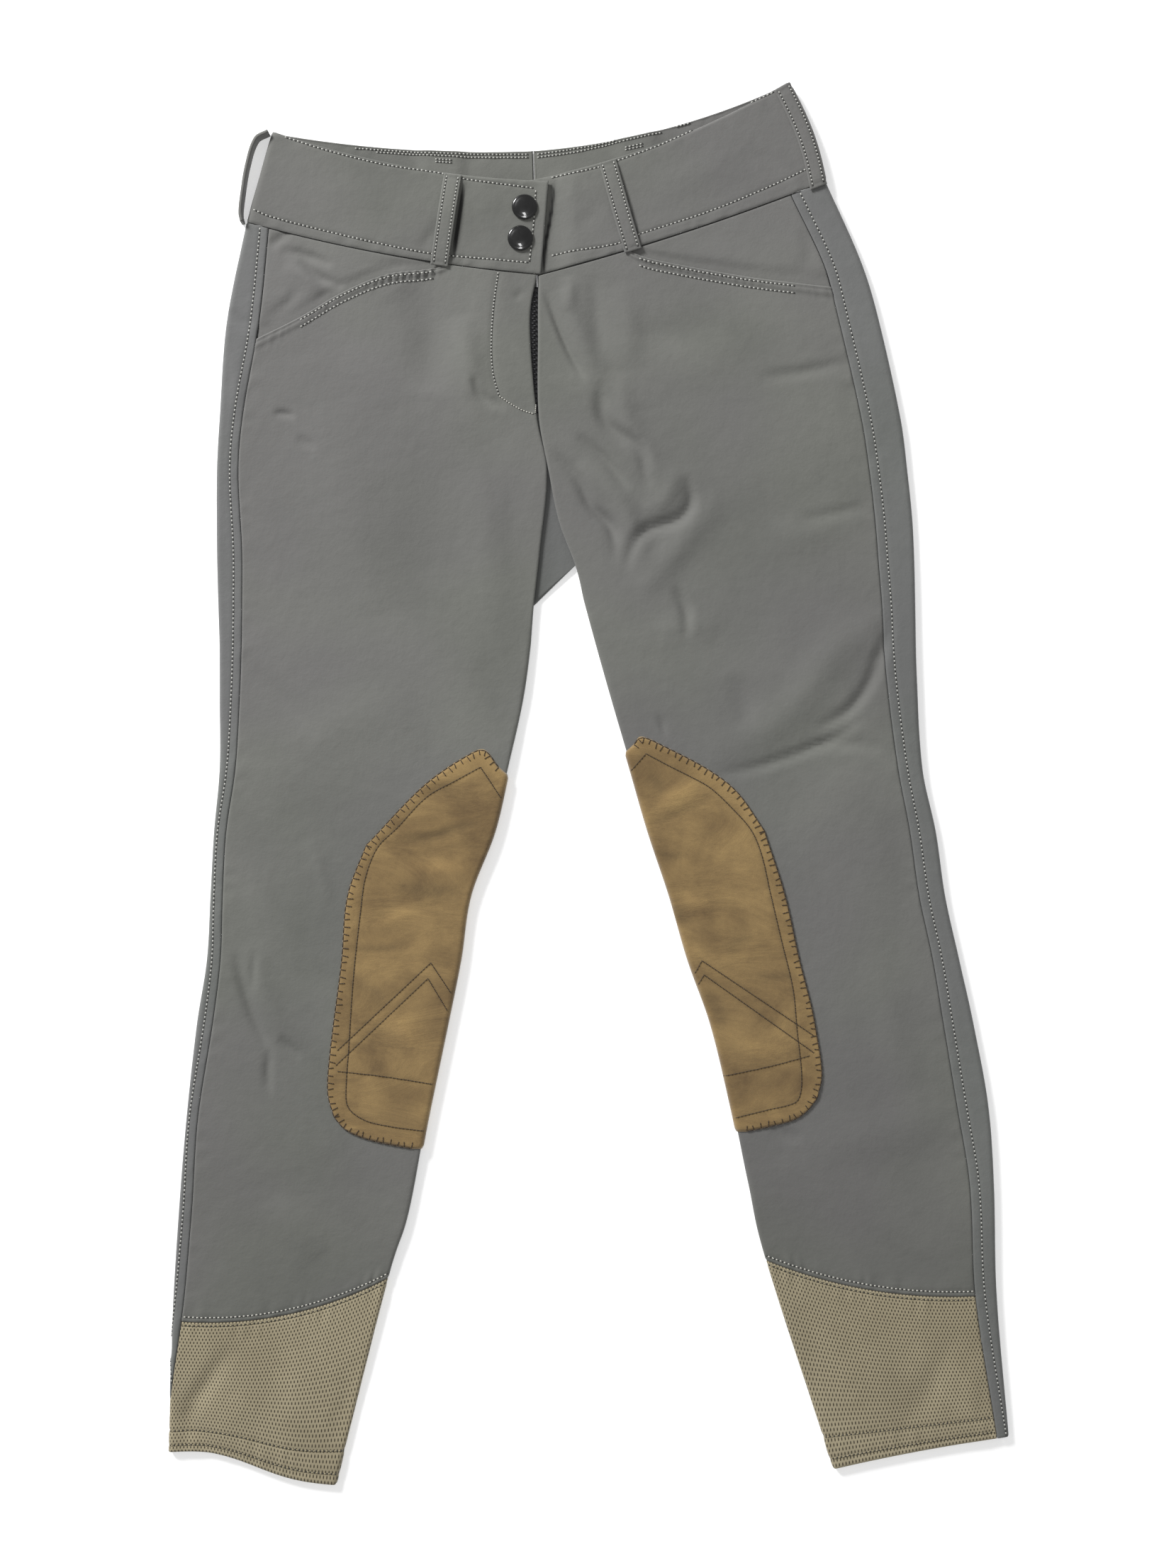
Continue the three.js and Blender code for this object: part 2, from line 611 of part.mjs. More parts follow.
function cuff(half) {
  const roundColumns = 3;
  const leastRound = 3;
  const sideColumns = roundColumns + 8;
  const bend = 4;
  const backColumns = 7;
  const columns = sideColumns + bend + backColumns;
  const levels = span(half.cuffLevel - OUTSEAM_GAP / 2, half.hemLevel, CUFF_ROWS);
  const place = (i, j, inside) => {
    const level = levels[j];
    const layer = half.leg.layer(half.leg.section(level), true);
    const zone = layer.end - layer.bendRun;
    const seam = seamRun(half, level) + SEAM_GAP / 2;
    const round = Math.max(seam + leastRound, half.leg.section(level).outRadius * Math.PI / 2);
    const front = layer.end - seam;
    const back = half.leg.end(level, false) - STRIP_BEHIND - SEAM_GAP;
    let reach = THREE.MathUtils.lerp(zone, -zone, (i - sideColumns) / bend);
    if (i < roundColumns) {
      reach = THREE.MathUtils.lerp(front, layer.end - round, i / roundColumns);
    } else if (i < sideColumns) {
      const part = (i - roundColumns) / (sideColumns - roundColumns);
      reach = THREE.MathUtils.lerp(layer.end - round, zone, part);
    } else if (i > sideColumns + bend) {
      reach = THREE.MathUtils.lerp(-zone, -back, (i - sideColumns - bend) / backColumns);
    }
    return half.leg.point(level, runFromFold(half.leg, level, reach), inside ? KNIT : 0);
  };
  return wall(columns, levels.length - 1, place);
}

// A point part of the way along an outline, by length
function alongOutline(points, part) {
  const lengths = [0];
  for (let k = 1; k < points.length; k += 1) {
    const step = Math.hypot(points[k].reach - points[k - 1].reach, points[k].y - points[k - 1].y);
    lengths.push(lengths[k - 1] + step);
  }
  const rows = points.map((point, k) => ({ ...point, length: lengths[k] }));
  const at = part * lengths.at(-1);
  return { reach: sample(rows, 'reach', 'length', at), y: sample(rows, 'y', 'length', at) };
}

// Fills the space between four outlines that share their corners
function blended(top, bottom, side, edge, u, v) {
  const mix = THREE.MathUtils.lerp;
  const ends = [top, bottom].map((line) => [line[0], line.at(-1)]);
  const out = {};
  for (const key of OUTLINE) {
    const along = mix(alongOutline(top, u)[key], alongOutline(bottom, u)[key], v);
    const across = mix(alongOutline(side, v)[key], alongOutline(edge, v)[key], u);
    const [over, under] = ends.map(([first, last]) => mix(first[key], last[key], u));
    out[key] = along + across - mix(over, under, v);
  }
  return out;
}

function kneePatch(half) {
  const { top, side, bottom } = half.patch;
  const bend = 6;
  const topY = top.at(-1).y;
  const bottomY = bottom.at(-1).y;
  const { drop, middle, corner, swell, swellLevel, lowerIn, lowerTurn } = PATCH_BEHIND;
  const line = (reach) => table(OUTLINE, [[reach, topY], [reach, bottomY]]);
  const upperCorner = [-middle, topY - drop - corner];
  const lowerCorner = [-middle + lowerIn, bottomY + corner];
  const backTop = table(OUTLINE, [[-FOLD_REACH, topY], [-middle + corner, topY - drop], upperCorner]);
  const backBottom = table(OUTLINE, [[-FOLD_REACH, bottomY], [-middle + lowerTurn, bottomY + swell],
    lowerCorner]);
  const backSide = table(OUTLINE, [upperCorner, [-middle - swell, swellLevel], lowerCorner]);
  const columns = PATCH_COLUMNS + bend + PATCH_BACK_COLUMNS;
  const place = (i, j, inside) => {
    const v = j / PATCH_ROWS;
    const turn = (i - PATCH_COLUMNS) / bend;
    let at = blended(top, bottom, side, line(FOLD_REACH), i / PATCH_COLUMNS, v);
    if (turn > 0 && turn <= 1) {
      const y = THREE.MathUtils.lerp(topY, bottomY, v);
      const forward = 1 - 2 * turn;
      const station = bend / 2 - Math.round(Math.abs(forward) * bend / 2);
      at = { reach: Math.sign(forward) * bendReach(half.leg, y, forward > 0, station), y };
    } else if (turn > 1) {
      const u = (i - PATCH_COLUMNS - bend) / PATCH_BACK_COLUMNS;
      at = blended(backTop, backBottom, line(-FOLD_REACH), backSide, u, v);
    }
    const depth = -SEAM_GAP - (inside ? 0 : SUEDE);
    return half.leg.point(at.y, runFromFold(half.leg, at.y, at.reach), depth);
  };
  return wall(columns, PATCH_ROWS, place);
}

// Runs of the band's back, with columns where it rises over the belt loop
function bandBackRun(half, level, quarter, back, column) {
  const width = half.band.layer(half.band.section(level), false).width;
  const loop = half.band.runAt(level, width * half.backLoop);
  const beside = 4;
  const before = span(quarter, loop - LIFT_FOOT, beside);
  const after = span(loop + LIFT_FOOT, back, beside);
  return -[...before, ...span(loop - LIFT_TOP, loop + LIFT_TOP, 2), ...after][column];
}

function waistband(half) {
  const { band } = half;
  const rows = 3;
  const frontColumns = 13;
  const foldColumns = 6;
  const backColumns = 12;
  const levels = span(band.rows[0].level, band.rows[1].level, rows);
  const quarter = BAND_HEIGHT / 2 * Math.PI / 2;
  const place = (i, j, inside) => {
    const level = levels[j];
    const front = band.end(level, true) + half.underlap;
    const back = band.end(level, false) - SEAM_GAP / 2;
    let run = THREE.MathUtils.lerp(quarter, -quarter, (i - frontColumns) / foldColumns);
    if (i < frontColumns) {
      run = THREE.MathUtils.lerp(front, quarter, i / frontColumns);
    } else if (i > frontColumns + foldColumns) {
      run = bandBackRun(half, level, quarter, back, i - frontColumns - foldColumns);
    }
    return band.point(level, run, inside ? BAND : 0);
  };
  return wall(frontColumns + foldColumns + backColumns, rows, place);
}

// Belt loops that lie on the band. top and foot are their places as a part of the band's width, and
// bulge moves the middle off the band, sideways for a loop at the outer fold
const LOOPS = table(['name', 'side', 'face', 'top', 'foot', 'bulge', 'shift'], [
  ['loop_front_right', 'right', 1, 0.662, 0.661, LOOP_BULGE, 0],
  ['loop_front_left', 'left', 1, 0.737, 0.675, LOOP_BULGE, 0],
  ['loop_side_left', 'left', 1, 0.031, 0.031, 0, SIDE_BULGE],
  ['loop_back_right', 'right', -1, BACK_LOOP_PLACE.right, BACK_LOOP_PLACE.right, 0, 0],
  ['loop_back_left', 'left', -1, BACK_LOOP_PLACE.left, BACK_LOOP_PLACE.left, 0, 0],
]);

function beltLoop(loop) {
  const { band } = halves[loop.side];
  const aroundFold = 7;
  const columns = loop.shift > 0 ? aroundFold : 3;
  const rows = 6;
  const past = loop.face > 0 ? LOOP_PAST_BAND : -LOOP_SHORT_BEHIND;
  const levels = span(band.rows[0].level - LOOP_TOP, band.rows[1].level - past, rows);
  const place = (i, j, inside) => {
    const level = levels[j];
    const row = band.section(level);
    const front = loop.face > 0;
    const width = band.layer(row, front).width;
    const part = THREE.MathUtils.lerp(loop.top, loop.foot, j / rows);
    const run = band.runAt(level, part * width) + LOOP_WIDTH * (i / columns - 0.5);
    const arch = Math.sin(Math.PI * j / rows);
    const depth = -SEAM_GAP - loop.bulge * arch - (inside ? 0 : LOOP);
    const point = band.point(level, loop.face * run, depth);
    point.x += Math.sign(row.outX) * loop.shift * arch;
    return point;
  };
  return wall(columns, rows, place);
}

// The right side loop stands off the band on its edge, with a gap to see through
const SIDE_LOOP = table(POINT, [[-225.2, 459.6], [-234.0, 454.5], [-240.2, 436], [-243.8, 414],
  [-244.9, 402], [-243.7, 396.0]]);

function standingLoop() {
  const middle = new THREE.SplineCurve(SIDE_LOOP.map(({ x, y }) => new THREE.Vector2(x, y)));
  const count = 14;
  const edge = (side) => span(0, 1, count).map((part) => {
    const tangent = middle.getTangent(part);
    const aside = new THREE.Vector2(tangent.y, -tangent.x).multiplyScalar(side * SIDE_LOOP_THICK / 2);
    return middle.getPoint(part).add(aside);
  });
  const shape = new THREE.Shape([...edge(1), ...edge(-1).reverse()]);
  return new THREE.ExtrudeGeometry(shape, { depth: SIDE_LOOP_WIDTH, bevelEnabled: false });
}

// The fold of the left back that shows in the fork, as its outline
const FORK = table(POINT, [[-30.2, 208], [-31.8, 173], [-35.6, 125.2], [-8.0, 155.6], [-4.5, 160],
  [-14, 204]]);

function crotchExtension() {
  const shape = new THREE.Shape(FORK.map(({ x, y }) => new THREE.Vector2(x, y)));
  return new THREE.ExtrudeGeometry(shape, { depth: CROTCH_FOLD, bevelEnabled: false });
}

// The zip's tape behind the fly, wider where the front's edge bows away from the centre
function flyZip() {
  const { middle, top, foot, halfWidth, bow, taper, thick, face } = ZIP;
  const left = middle - halfWidth;
  const right = middle + halfWidth;
  const shape = new THREE.Shape();
  shape.moveTo(left, top);
  shape.quadraticCurveTo(left - bow, (top + foot) / 2, left + taper, foot);
  shape.lineTo(right, foot);
  shape.lineTo(right, top);
  const geometry = new THREE.ExtrudeGeometry(shape, { depth: thick, bevelEnabled: false, curveSegments: 6 });
  return geometry.translate(0, 0, face - thick);
}

const SNAPS = table(['name', 'x', 'y'], [['snap_upper', -44.7, 406.5], ['snap_lower', -47.7, 384.5]]);

// A snap cap is a shallow dome with a rolled rim and a flat foot, as parts of its radius and height
const SNAP_PROFILE = table(['out', 'up'], [[0, 0], [0.93, 0], [1, 0.17], [1, 0.42], [0.93, 0.6], [0.82, 0.66],
  [0.6, 0.86], [0.3, 0.97], [0, 1]]);

function snapCap(snap) {
  const foot = BAND_HEIGHT + OVERLAP_RISE + SEAM_GAP;
  const profile = SNAP_PROFILE.map(({ out, up }) => new THREE.Vector2(out * SNAP_RADIUS, up * SNAP_HEIGHT));
  const geometry = new THREE.LatheGeometry(profile, SNAP_SIDES);
  return geometry.rotateX(Math.PI / 2).translate(snap.x, snap.y, foot);
}

const FINISH = {
  cloth: { color: 0x787872, roughness: 0.82, metalness: 0 },
  suede: { color: 0x947a50, roughness: 0.95, metalness: 0 },
  knit: { color: 0x968a70, roughness: 0.9, metalness: 0 },
  zip: { color: 0x1a1a1c, roughness: 0.55, metalness: 0.1 },
  metal: { color: 0x2b2a2a, roughness: 0.3, metalness: 0.9 },
};

const group = new THREE.Group();

function add(name, geometry, finish) {
  const mesh = new THREE.Mesh(geometry, new THREE.MeshStandardMaterial(FINISH[finish]));
  mesh.name = name;
  group.add(mesh);
}

for (const [side, half] of Object.entries(halves)) {
  const back = backPanel(half);
  add(`front_${side}`, frontPanel(half), 'cloth');
  add(`back_${side}`, side === 'left' ? joined(back, crotchExtension()) : back, 'cloth');
  add(`pocket_facing_${side}`, pocketFacing(half), 'cloth');
  add(`waistband_${side}`, waistband(half), 'cloth');
  add(`knee_patch_${side}`, kneePatch(half), 'suede');
  add(`cuff_${side}`, cuff(half), 'knit');
}
for (const loop of LOOPS) {
  add(loop.name, beltLoop(loop), 'cloth');
}
add('loop_side_right', standingLoop(), 'cloth');
add('fly_zip', flyZip(), 'zip');
for (const snap of SNAPS) {
  add(snap.name, snapCap(snap), 'metal');
}

export default group;
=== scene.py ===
"""Riding breeches laid flat with the front up: the looks of every piece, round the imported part.

Lengths are millimetres in the tables and metres in Blender. +Y points to the waist and +Z up, and the origin
lies on the surface below the middle of the outline. Right and left are the wearer's own.
"""

import logging
import math
from dataclasses import dataclass, field
from enum import Enum
from functools import cached_property
from typing import Callable, Sequence

import bmesh
import bpy
import numpy as np
from mathutils import Matrix, Vector
from mathutils.bvhtree import BVHTree


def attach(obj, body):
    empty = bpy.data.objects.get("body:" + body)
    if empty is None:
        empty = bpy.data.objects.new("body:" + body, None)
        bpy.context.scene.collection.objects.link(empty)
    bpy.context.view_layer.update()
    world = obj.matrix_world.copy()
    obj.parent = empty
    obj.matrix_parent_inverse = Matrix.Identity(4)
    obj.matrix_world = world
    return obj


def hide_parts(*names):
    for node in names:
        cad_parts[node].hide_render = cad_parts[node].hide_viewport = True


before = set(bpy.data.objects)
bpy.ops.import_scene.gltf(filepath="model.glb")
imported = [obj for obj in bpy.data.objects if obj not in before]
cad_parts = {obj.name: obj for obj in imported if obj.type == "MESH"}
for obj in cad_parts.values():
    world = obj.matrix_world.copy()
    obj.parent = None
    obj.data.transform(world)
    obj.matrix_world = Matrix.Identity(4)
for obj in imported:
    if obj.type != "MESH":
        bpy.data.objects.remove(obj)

LOG = logging.getLogger("breeches")
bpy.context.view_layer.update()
BODY = "root"
MM = 0.001

Array = np.ndarray
Color = tuple[float, float, float, float]
Path = Sequence[tuple[float, float]]

# Walls and the space between sewn pieces
CLOTH = 1.0
SUEDE = 1.2
KNIT = 1.0
FACING = 0.9
BAND = 2.0
LOOP = 1.4
SEAM_GAP = 0.3
SEWN_GAP = 0.2
PATCH_LIFT = 1.6
LOOP_LIFT = 1.8
BAND_HEIGHT = 6.9
HOLLOW_MIDDLE = 3.1


class Side(Enum):
    """The wearer's side."""

    RIGHT = "right"
    LEFT = "left"


class Face(Enum):
    """The face of the garment, as it lies, that carries something."""

    FRONT = 1
    BACK = -1


def smooth(low: float, high: float, value: Array) -> Array:
    """Goes softly from 0 at low to 1 at high."""
    part = np.clip((value - low) / (high - low), 0.0, 1.0)
    return part * part * (3.0 - 2.0 * part)


def mix(low: Array, high: Array, part: Array) -> Array:
    """The value part of the way from low to high."""
    return low + (high - low) * part


def rolled(distance: Array, drop: float = 0.7, width: float = 1.5) -> Array:
    """How deep an edge rolls in, at a distance from it."""
    return drop * np.clip(1.0 - distance / width, 0.0, 1.0) ** 2


def groove(distance: Array, at: float, depth: float = 0.25, width: float = 0.9) -> Array:
    """How deep a row of stitches pulls the cloth, at a distance from the edge it follows."""
    return depth * np.exp(-(((distance - at) / width) ** 2))


def gathers(along: Array, distance: Array, reach: float, pitch: float, height: float) -> Array:
    """Uneven gathers beside a sewn edge.

    Args:
        along: Length along the edge.
        distance: Distance from the edge.
        reach: Where the gathers have died away.
        pitch: Mean length of one gather.
        height: Half the height of the largest.

    Returns:
        The depth that they add.
    """
    phase = 2.0 * math.pi * along / pitch
    wave = np.sin(phase + 1.4 * np.sin(phase / 3.7) + 0.8 * np.sin(phase / 1.9 + 1.0))
    strength = 0.55 + 0.45 * np.sin(phase / 5.3 + 0.6)
    window = smooth(0.0, 2.0, distance) * (1.0 - smooth(reach * 0.35, reach, distance))
    return height * wave * strength * window


@dataclass
class Rows:
    """Named columns of numbers, read smoothly between the rows.

    Attributes:
        names: The columns' names, in order.
        values: The rows.
        by: The column that orders them.
    """

    names: str
    values: Sequence[Sequence[float]]
    by: str

    def __post_init__(self) -> None:
        """Orders the rows and works out each column's slope at each row."""
        names = self.names.split()
        grid = np.array(self.values, float)
        grid = grid[np.argsort(grid[:, names.index(self.by)])]
        self.keys = grid[:, names.index(self.by)]
        self.columns = dict(zip(names, grid.T))
        low = np.maximum(np.arange(len(grid)) - 1, 0)
        high = np.minimum(np.arange(len(grid)) + 1, len(grid) - 1)
        run = self.keys[high] - self.keys[low]
        self.slopes = {name: (column[high] - column[low]) / run for name, column in self.columns.items()}

    def at(self, name: str, where: Array) -> Array:
        """Reads one column.

        Args:
            name: The column.
            where: Values of the ordering column.

        Returns:
            The smooth value at each, on a straight line beyond the first and last row.
        """
        where = np.asarray(where, float)
        k = np.clip(np.searchsorted(self.keys, where, side="right") - 1, 0, len(self.keys) - 2)
        value = self.columns[name]
        slope = self.slopes[name]
        span = self.keys[k + 1] - self.keys[k]
        part = (where - self.keys[k]) / span
        t = np.clip(part, 0.0, 1.0)
        t2 = t * t
        t3 = t2 * t
        curve = value[k] * (2 * t3 - 3 * t2 + 1) + value[k + 1] * (3 * t2 - 2 * t3)
        curve += slope[k] * span * (t3 - 2 * t2 + t) + slope[k + 1] * span * (t3 - t2)
        before = slope[k] * span * np.minimum(part, 0.0)
        after = slope[k + 1] * span * np.maximum(part - 1.0, 0.0)
        return curve + before + after


def curve_through(path: Path, step: float) -> Array:
    """A smooth curve through the points of a path, in even steps.

    Args:
        path: The points.
        step: Length of one step.

    Returns:
        Points along the curve, the ends included.
    """
    points = np.array(path, float)
    chord = np.concatenate([[0.0], np.cumsum(np.linalg.norm(np.diff(points, axis=0), axis=1))])
    rows = Rows("length x y", np.column_stack([chord, points]), "length")
    fine = np.linspace(0.0, chord[-1], max(int(chord[-1] / 0.5), 8))
    dense = np.column_stack([rows.at("x", fine), rows.at("y", fine)])
    length = np.concatenate([[0.0], np.cumsum(np.linalg.norm(np.diff(dense, axis=0), axis=1))])
    even = np.linspace(0.0, length[-1], max(int(round(length[-1] / step)), 1) + 1)
    return np.column_stack([np.interp(even, length, dense[:, k]) for k in range(2)])


@dataclass(frozen=True)
class Crease:
    """One fold of the cloth, as given.

    Attributes:
        path: The line of the fold, x and y.
        width: Half its width.
        height: Its height, below zero for a trough.
        step: How much higher its left side stands than its right, along the path.
        tip: How its ends die away: small for blunt ends, 1 for long soft ones.
    """

    path: Path
    width: float
    height: float
    step: float = 0.0
    tip: float = 0.8

    @cached_property
    def line(self) -> Array:
        """The line of the fold in short steps."""
        return curve_through(self.path, 3.0)

    def rise(self, x: Array, y: Array) -> Array:
        """How much the fold lifts the cloth at each place.

        Args:
            x: Places.
            y: Places.

        Returns:
            The rise.
        """
        line = self.line
        reach = 3.0 * self.width
        low = line.min(0) - reach
        high = line.max(0) + reach
        near = (x > low[0]) & (x < high[0]) & (y > low[1]) & (y < high[1])
        out = np.zeros_like(x)
        if not near.any():
            return out
        place = np.column_stack([x[near], y[near]])[:, None, :]
        start = line[:-1][None]
        way = line[1:][None] - start
        size = (way ** 2).sum(-1)
        part = np.clip(((place - start) * way).sum(-1) / size, 0.0, 1.0)
        away = place - start - part[..., None] * way
        distance = np.linalg.norm(away, axis=-1)
        best = distance.argmin(1)
        pick = np.arange(len(best))
        cross = way[0, best, 0] * away[pick, best, 1] - way[0, best, 1] * away[pick, best, 0]
        along = (best + part[pick, best]) / way.shape[1]
        off = distance[pick, best] / self.width * np.where(cross < 0, -1.0, 1.0)
        taper = np.clip(np.sin(math.pi * along), 0.0, 1.0) ** self.tip
        bell = np.exp(-off * off)
        out[near] = taper * bell * (self.height + self.step * 2.33 * off)
        return out


def creased(creases: Sequence[Crease], x: Array, y: Array) -> Array:
    """The rise of all the folds together."""
    return sum((crease.rise(x, y) for crease in creases), np.zeros_like(x))


@dataclass(frozen=True)
class Stations:
    """Steps across a sheet: set distances near both edges and even steps between.

    Attributes:
        near: Distances from the first edge, growing.
        middle: Number of even steps.
        far: Distances to the last edge, falling.
    """

    near: tuple[float, ...] = (0.0,)
    middle: int = 20
    far: tuple[float, ...] = (0.0,)

    @property
    def steps(self) -> int:
        """The number of steps in all."""
        return len(self.near) + self.middle + len(self.far) - 2

    def at(self, index: Array, start: Array, end: Array) -> Array:
        """The place of each station.

        Args:
            index: Station numbers.
            start: Place of the first edge.
            end: Place of the last edge.

        Returns:
            The places.
        """
        way = np.sign(end - start)
        count = len(self.near)
        first = start + way * self.near[-1]
        last = end - way * self.far[0]
        place = mix(first, last, (index - count + 1) / self.middle)
        begin = np.clip(index, 0, count - 1).astype(int)
        place = np.where(index < count, start + way * np.array(self.near)[begin], place)
        tail = index - (count + self.middle - 1)
        finish = np.clip(tail, 0, len(self.far) - 1).astype(int)
        return np.where(tail >= 0, end - way * np.array(self.far)[finish], place)


@dataclass
class HalfTube:
    """Half of the garment, a tube pressed flat.

    A place on it is a level and a run, the length of cloth from the outer fold: above zero over the front,
    below zero under the back. Depth goes into the wall from its outer face.

    Attributes:
        rows: The sections.
        lift: How high the back stands over what is sewn under it, by level, reach and width.
        rise: The folds of the front, by x and y.
        under: The folds of the back, by x and y, above zero.
    """

    rows: Rows
    lift: Callable[[Array, Array, Array], Array]
    rise: Callable[[Array, Array], Array]
    under: Callable[[Array, Array], Array] = field(default=lambda x, y: np.zeros_like(x))

    def section(self, level: Array) -> dict[str, Array]:
        """The section's sizes at each level."""
        row = {name: self.rows.at(name, level) for name in self.rows.columns}
        row["curl"] = np.clip(row["curl"], 0.0, 1.0)
        row["round"] = row["high"] / 2.0
        return row

    def layer(self, row: dict[str, Array], front: Array) -> dict[str, Array]:
        """The sizes of the front or back layer of a section.

        Args:
            row: The section.
            front: Whether the front layer is meant.

        Returns:
            Its corner, width, inner bend and the run where it ends.
        """
        x = np.where(front, row["frontX"], row["backX"])
        y = np.where(front, row["frontY"], row["backY"])
        width = np.hypot(x - row["outX"], y - row["level"])
        lift = self.lift(row["level"], np.zeros_like(width), width)
        radius = (row["high"] - lift - SEAM_GAP) / 2.0
        turn = row["curl"] * math.pi / 2.0
        bend_start = width - radius * np.sin(turn)
        bend_run = row["round"] * (math.pi / 2.0 - 1.0) + bend_start
        return {"x": x, "y": y, "width": width, "radius": radius, "bend_start": bend_start,
                "bend_run": bend_run, "end": bend_run + radius * turn}

    def end(self, level: Array, front: bool) -> Array:
        """The run of the inner edge."""
        level = np.asarray(level, float)
        return self.layer(self.section(level), np.full(level.shape, front))["end"]

    def run_at(self, level: Array, inward: Array) -> Array:
        """The run at a distance in from the outer fold, seen from above."""
        bend = self.section(level)["round"]
        near = np.clip(np.abs(inward), 0.0, bend)
        curved = np.sign(inward) * bend * np.arccos(1.0 - near / bend)
        return np.where(inward >= bend, inward + bend * (math.pi / 2.0 - 1.0), curved)

    def spread(self, row: dict[str, Array], layer: dict[str, Array], inward: Array, front: Array) -> Array:
        """The place in plan of a distance along the row, with its bow and wave.

        Args:
            row: The section.
            layer: The layer.
            inward: Distance in from the outer fold.
            front: Whether the place is on the front.

        Returns:
            x and y of each place.
        """
        dx = (layer["x"] - row["outX"]) / layer["width"]
        dy = (layer["y"] - row["level"]) / layer["width"]
        part = inward / layer["width"]
        bow = np.where(front, row["bow"], row["backBow"])
        sag = bow * 4.0 * part * (1.0 - part) + row["wave"] * np.sin(2.0 * math.pi * part)
        down = np.sign(dx) * sag
        return np.stack([row["outX"] + dx * inward + dy * down, row["level"] + dy * inward - dx * down], -1)

    def point(self, level: Array, run: Array, depth: Array) -> Array:
        """Points of the wall.

        Args:
            level: Level of each place.
            run: Run of each place.
            depth: Depth in the wall.

        Returns:
            An array of x, y and z.
        """
        level, run, depth = (np.array(a, float) for a in np.broadcast_arrays(level, run, depth))
        row = self.section(level)
        front = run >= 0
        layer = self.layer(row, front)
        length = np.abs(run)
        flip = np.where(front, 1.0, -1.0)
        lift = self.lift(level, np.maximum(layer["end"] - length, 0.0), layer["width"])
        face = np.where(front, row["high"], lift)
        bend = row["round"]
        outer = length < bend * math.pi / 2.0
        turn = length / bend
        inner = ~outer & (row["curl"] > 0) & (length > layer["bend_run"])
        curl = (length - layer["bend_run"]) / layer["radius"]
        inward = np.where(outer, bend * (1.0 - np.cos(turn)), length - bend * (math.pi / 2.0 - 1.0))
        inward = np.where(inner, layer["bend_start"] + layer["radius"] * np.sin(curl), inward)
        up = np.where(outer, bend * (1.0 + flip * np.sin(turn)), face)
        up = np.where(inner, face - flip * layer["radius"] * (1.0 - np.cos(curl)), up)
        normal_in = np.where(outer, -np.cos(turn), np.where(inner, np.sin(curl), 0.0))
        normal_up = flip * np.where(outer, np.sin(turn), np.where(inner, np.cos(curl), 1.0))
        face_place = self.spread(row, layer, inward, front)
        place = self.spread(row, layer, inward - normal_in * depth, front)
        above = (up / row["high"]) ** 2 * self.rise(face_place[..., 0], face_place[..., 1])
        share = np.clip(1.0 - up / row["high"], 0.0, 1.0) ** 4
        above = above + share * self.under(face_place[..., 0], face_place[..., 1])
        return np.concatenate([place, (up - normal_up * depth + above)[..., None]], -1)

    def from_fold(self, level: Array, reach: Array) -> Array:
        """The run at a distance from the inner fold, forwards on the front and back on the back."""
        front = self.end(level, True) - reach
        return np.where(reach >= 0, front, -(self.end(level, False) + reach))


SECTION = "level outX frontX frontY backX backY bow backBow wave high seam curl"

RIGHT_BAND = Rows(SECTION, [
    [460.5, -223.3, -27.8, 425.0, -38.8, 448.0, 7.5, 5.0, 0, BAND_HEIGHT, 0, 0],
    [396.5, -241.3, -33.3, 359.5, -36.8, 384.5, 5.0, 4.0, 0, BAND_HEIGHT, 0, 0],
], "level")

LEFT_BAND = Rows(SECTION, [
    [495.5, 141.8, -35.0, 427.5, -38.8, 448.0, 8.0, 8.5, 0, BAND_HEIGHT, 0, 0],
    [425.5, 167.8, -35.3, 359.5, -36.8, 384.5, 3.5, 6.0, 0, BAND_HEIGHT, 0, 0],
], "level")

RIGHT_LEG = Rows(SECTION, [
    [396.5, -241.3, -35.9, 359.5, -36.8, 384.5, 5.0, 4.0, 0, 6.3, 16.5, 0],
    [326.0, -255.3, -40.8, 325.0, -35.3, 328.5, 2.0, 1.0, 0, 6.3, 23.0, 0],
    [258.5, -260.3, -35.8, 258.5, -32.3, 258.5, 0, 0, 0, 6.2, 16.5, 0],
    [221.0, -262.3, -28.8, 221.0, -31.3, 221.0, 0, 0, 0, 5.8, 15.5, 0],
    [165.0, -262.3, -33.8, 165.0, -35.3, 165.0, 0, 0, 0, 5.2, 18.0, 0],
    [123.0, -261.3, -38.3, 123.0, -38.3, 123.0, 0, 0, 0, 5.2, 17.0, 0.35],
    [100.0, -260.5, -40.0, 100.0, -40.0, 100.0, 0, 0, 0, 5.6, 16.0, 1],
    [60.0, -260.3, -45.5, 60.0, -45.5, 60.0, 0, 0, 0, 6.2, 14.5, 1],
    [11.0, -260.3, -56.3, 11.0, -56.3, 11.0, 0, 0, 0, 6.3, 11.5, 1],
    [-34.0, -264.3, -66.8, -34.0, -66.8, -34.0, 0, 0, 0, 6.3, 9.0, 1],
    [-79.0, -266.8, -83.8, -79.0, -83.8, -79.0, 0, 0, 0, 6.3, 9.0, 1],
    [-124.0, -269.3, -90.8, -124.0, -90.8, -124.0, 0, 0, 0, 6.3, 10.0, 1],
    [-169.0, -276.3, -99.8, -169.0, -99.8, -169.0, 0, 0, 0, 6.3, 11.5, 1],
    [-236.5, -283.8, -113.8, -236.5, -113.8, -236.5, 0, 0, 0, 6.2, 8.5, 1],
    [-304.0, -289.3, -126.8, -304.0, -126.8, -304.0, 1.5, 1.5, 0, 6.0, 9.5, 1],
    [-379.0, -293.8, -140.8, -348.5, -140.8, -348.5, 11.5, 11.5, 0, 5.6, 6.5, 1],
    [-472.0, -296.8, -178.0, -495.3, -178.0, -495.3, -2.5, -2.5, -3.5, 5.0, -5.0, 1],
], "level")

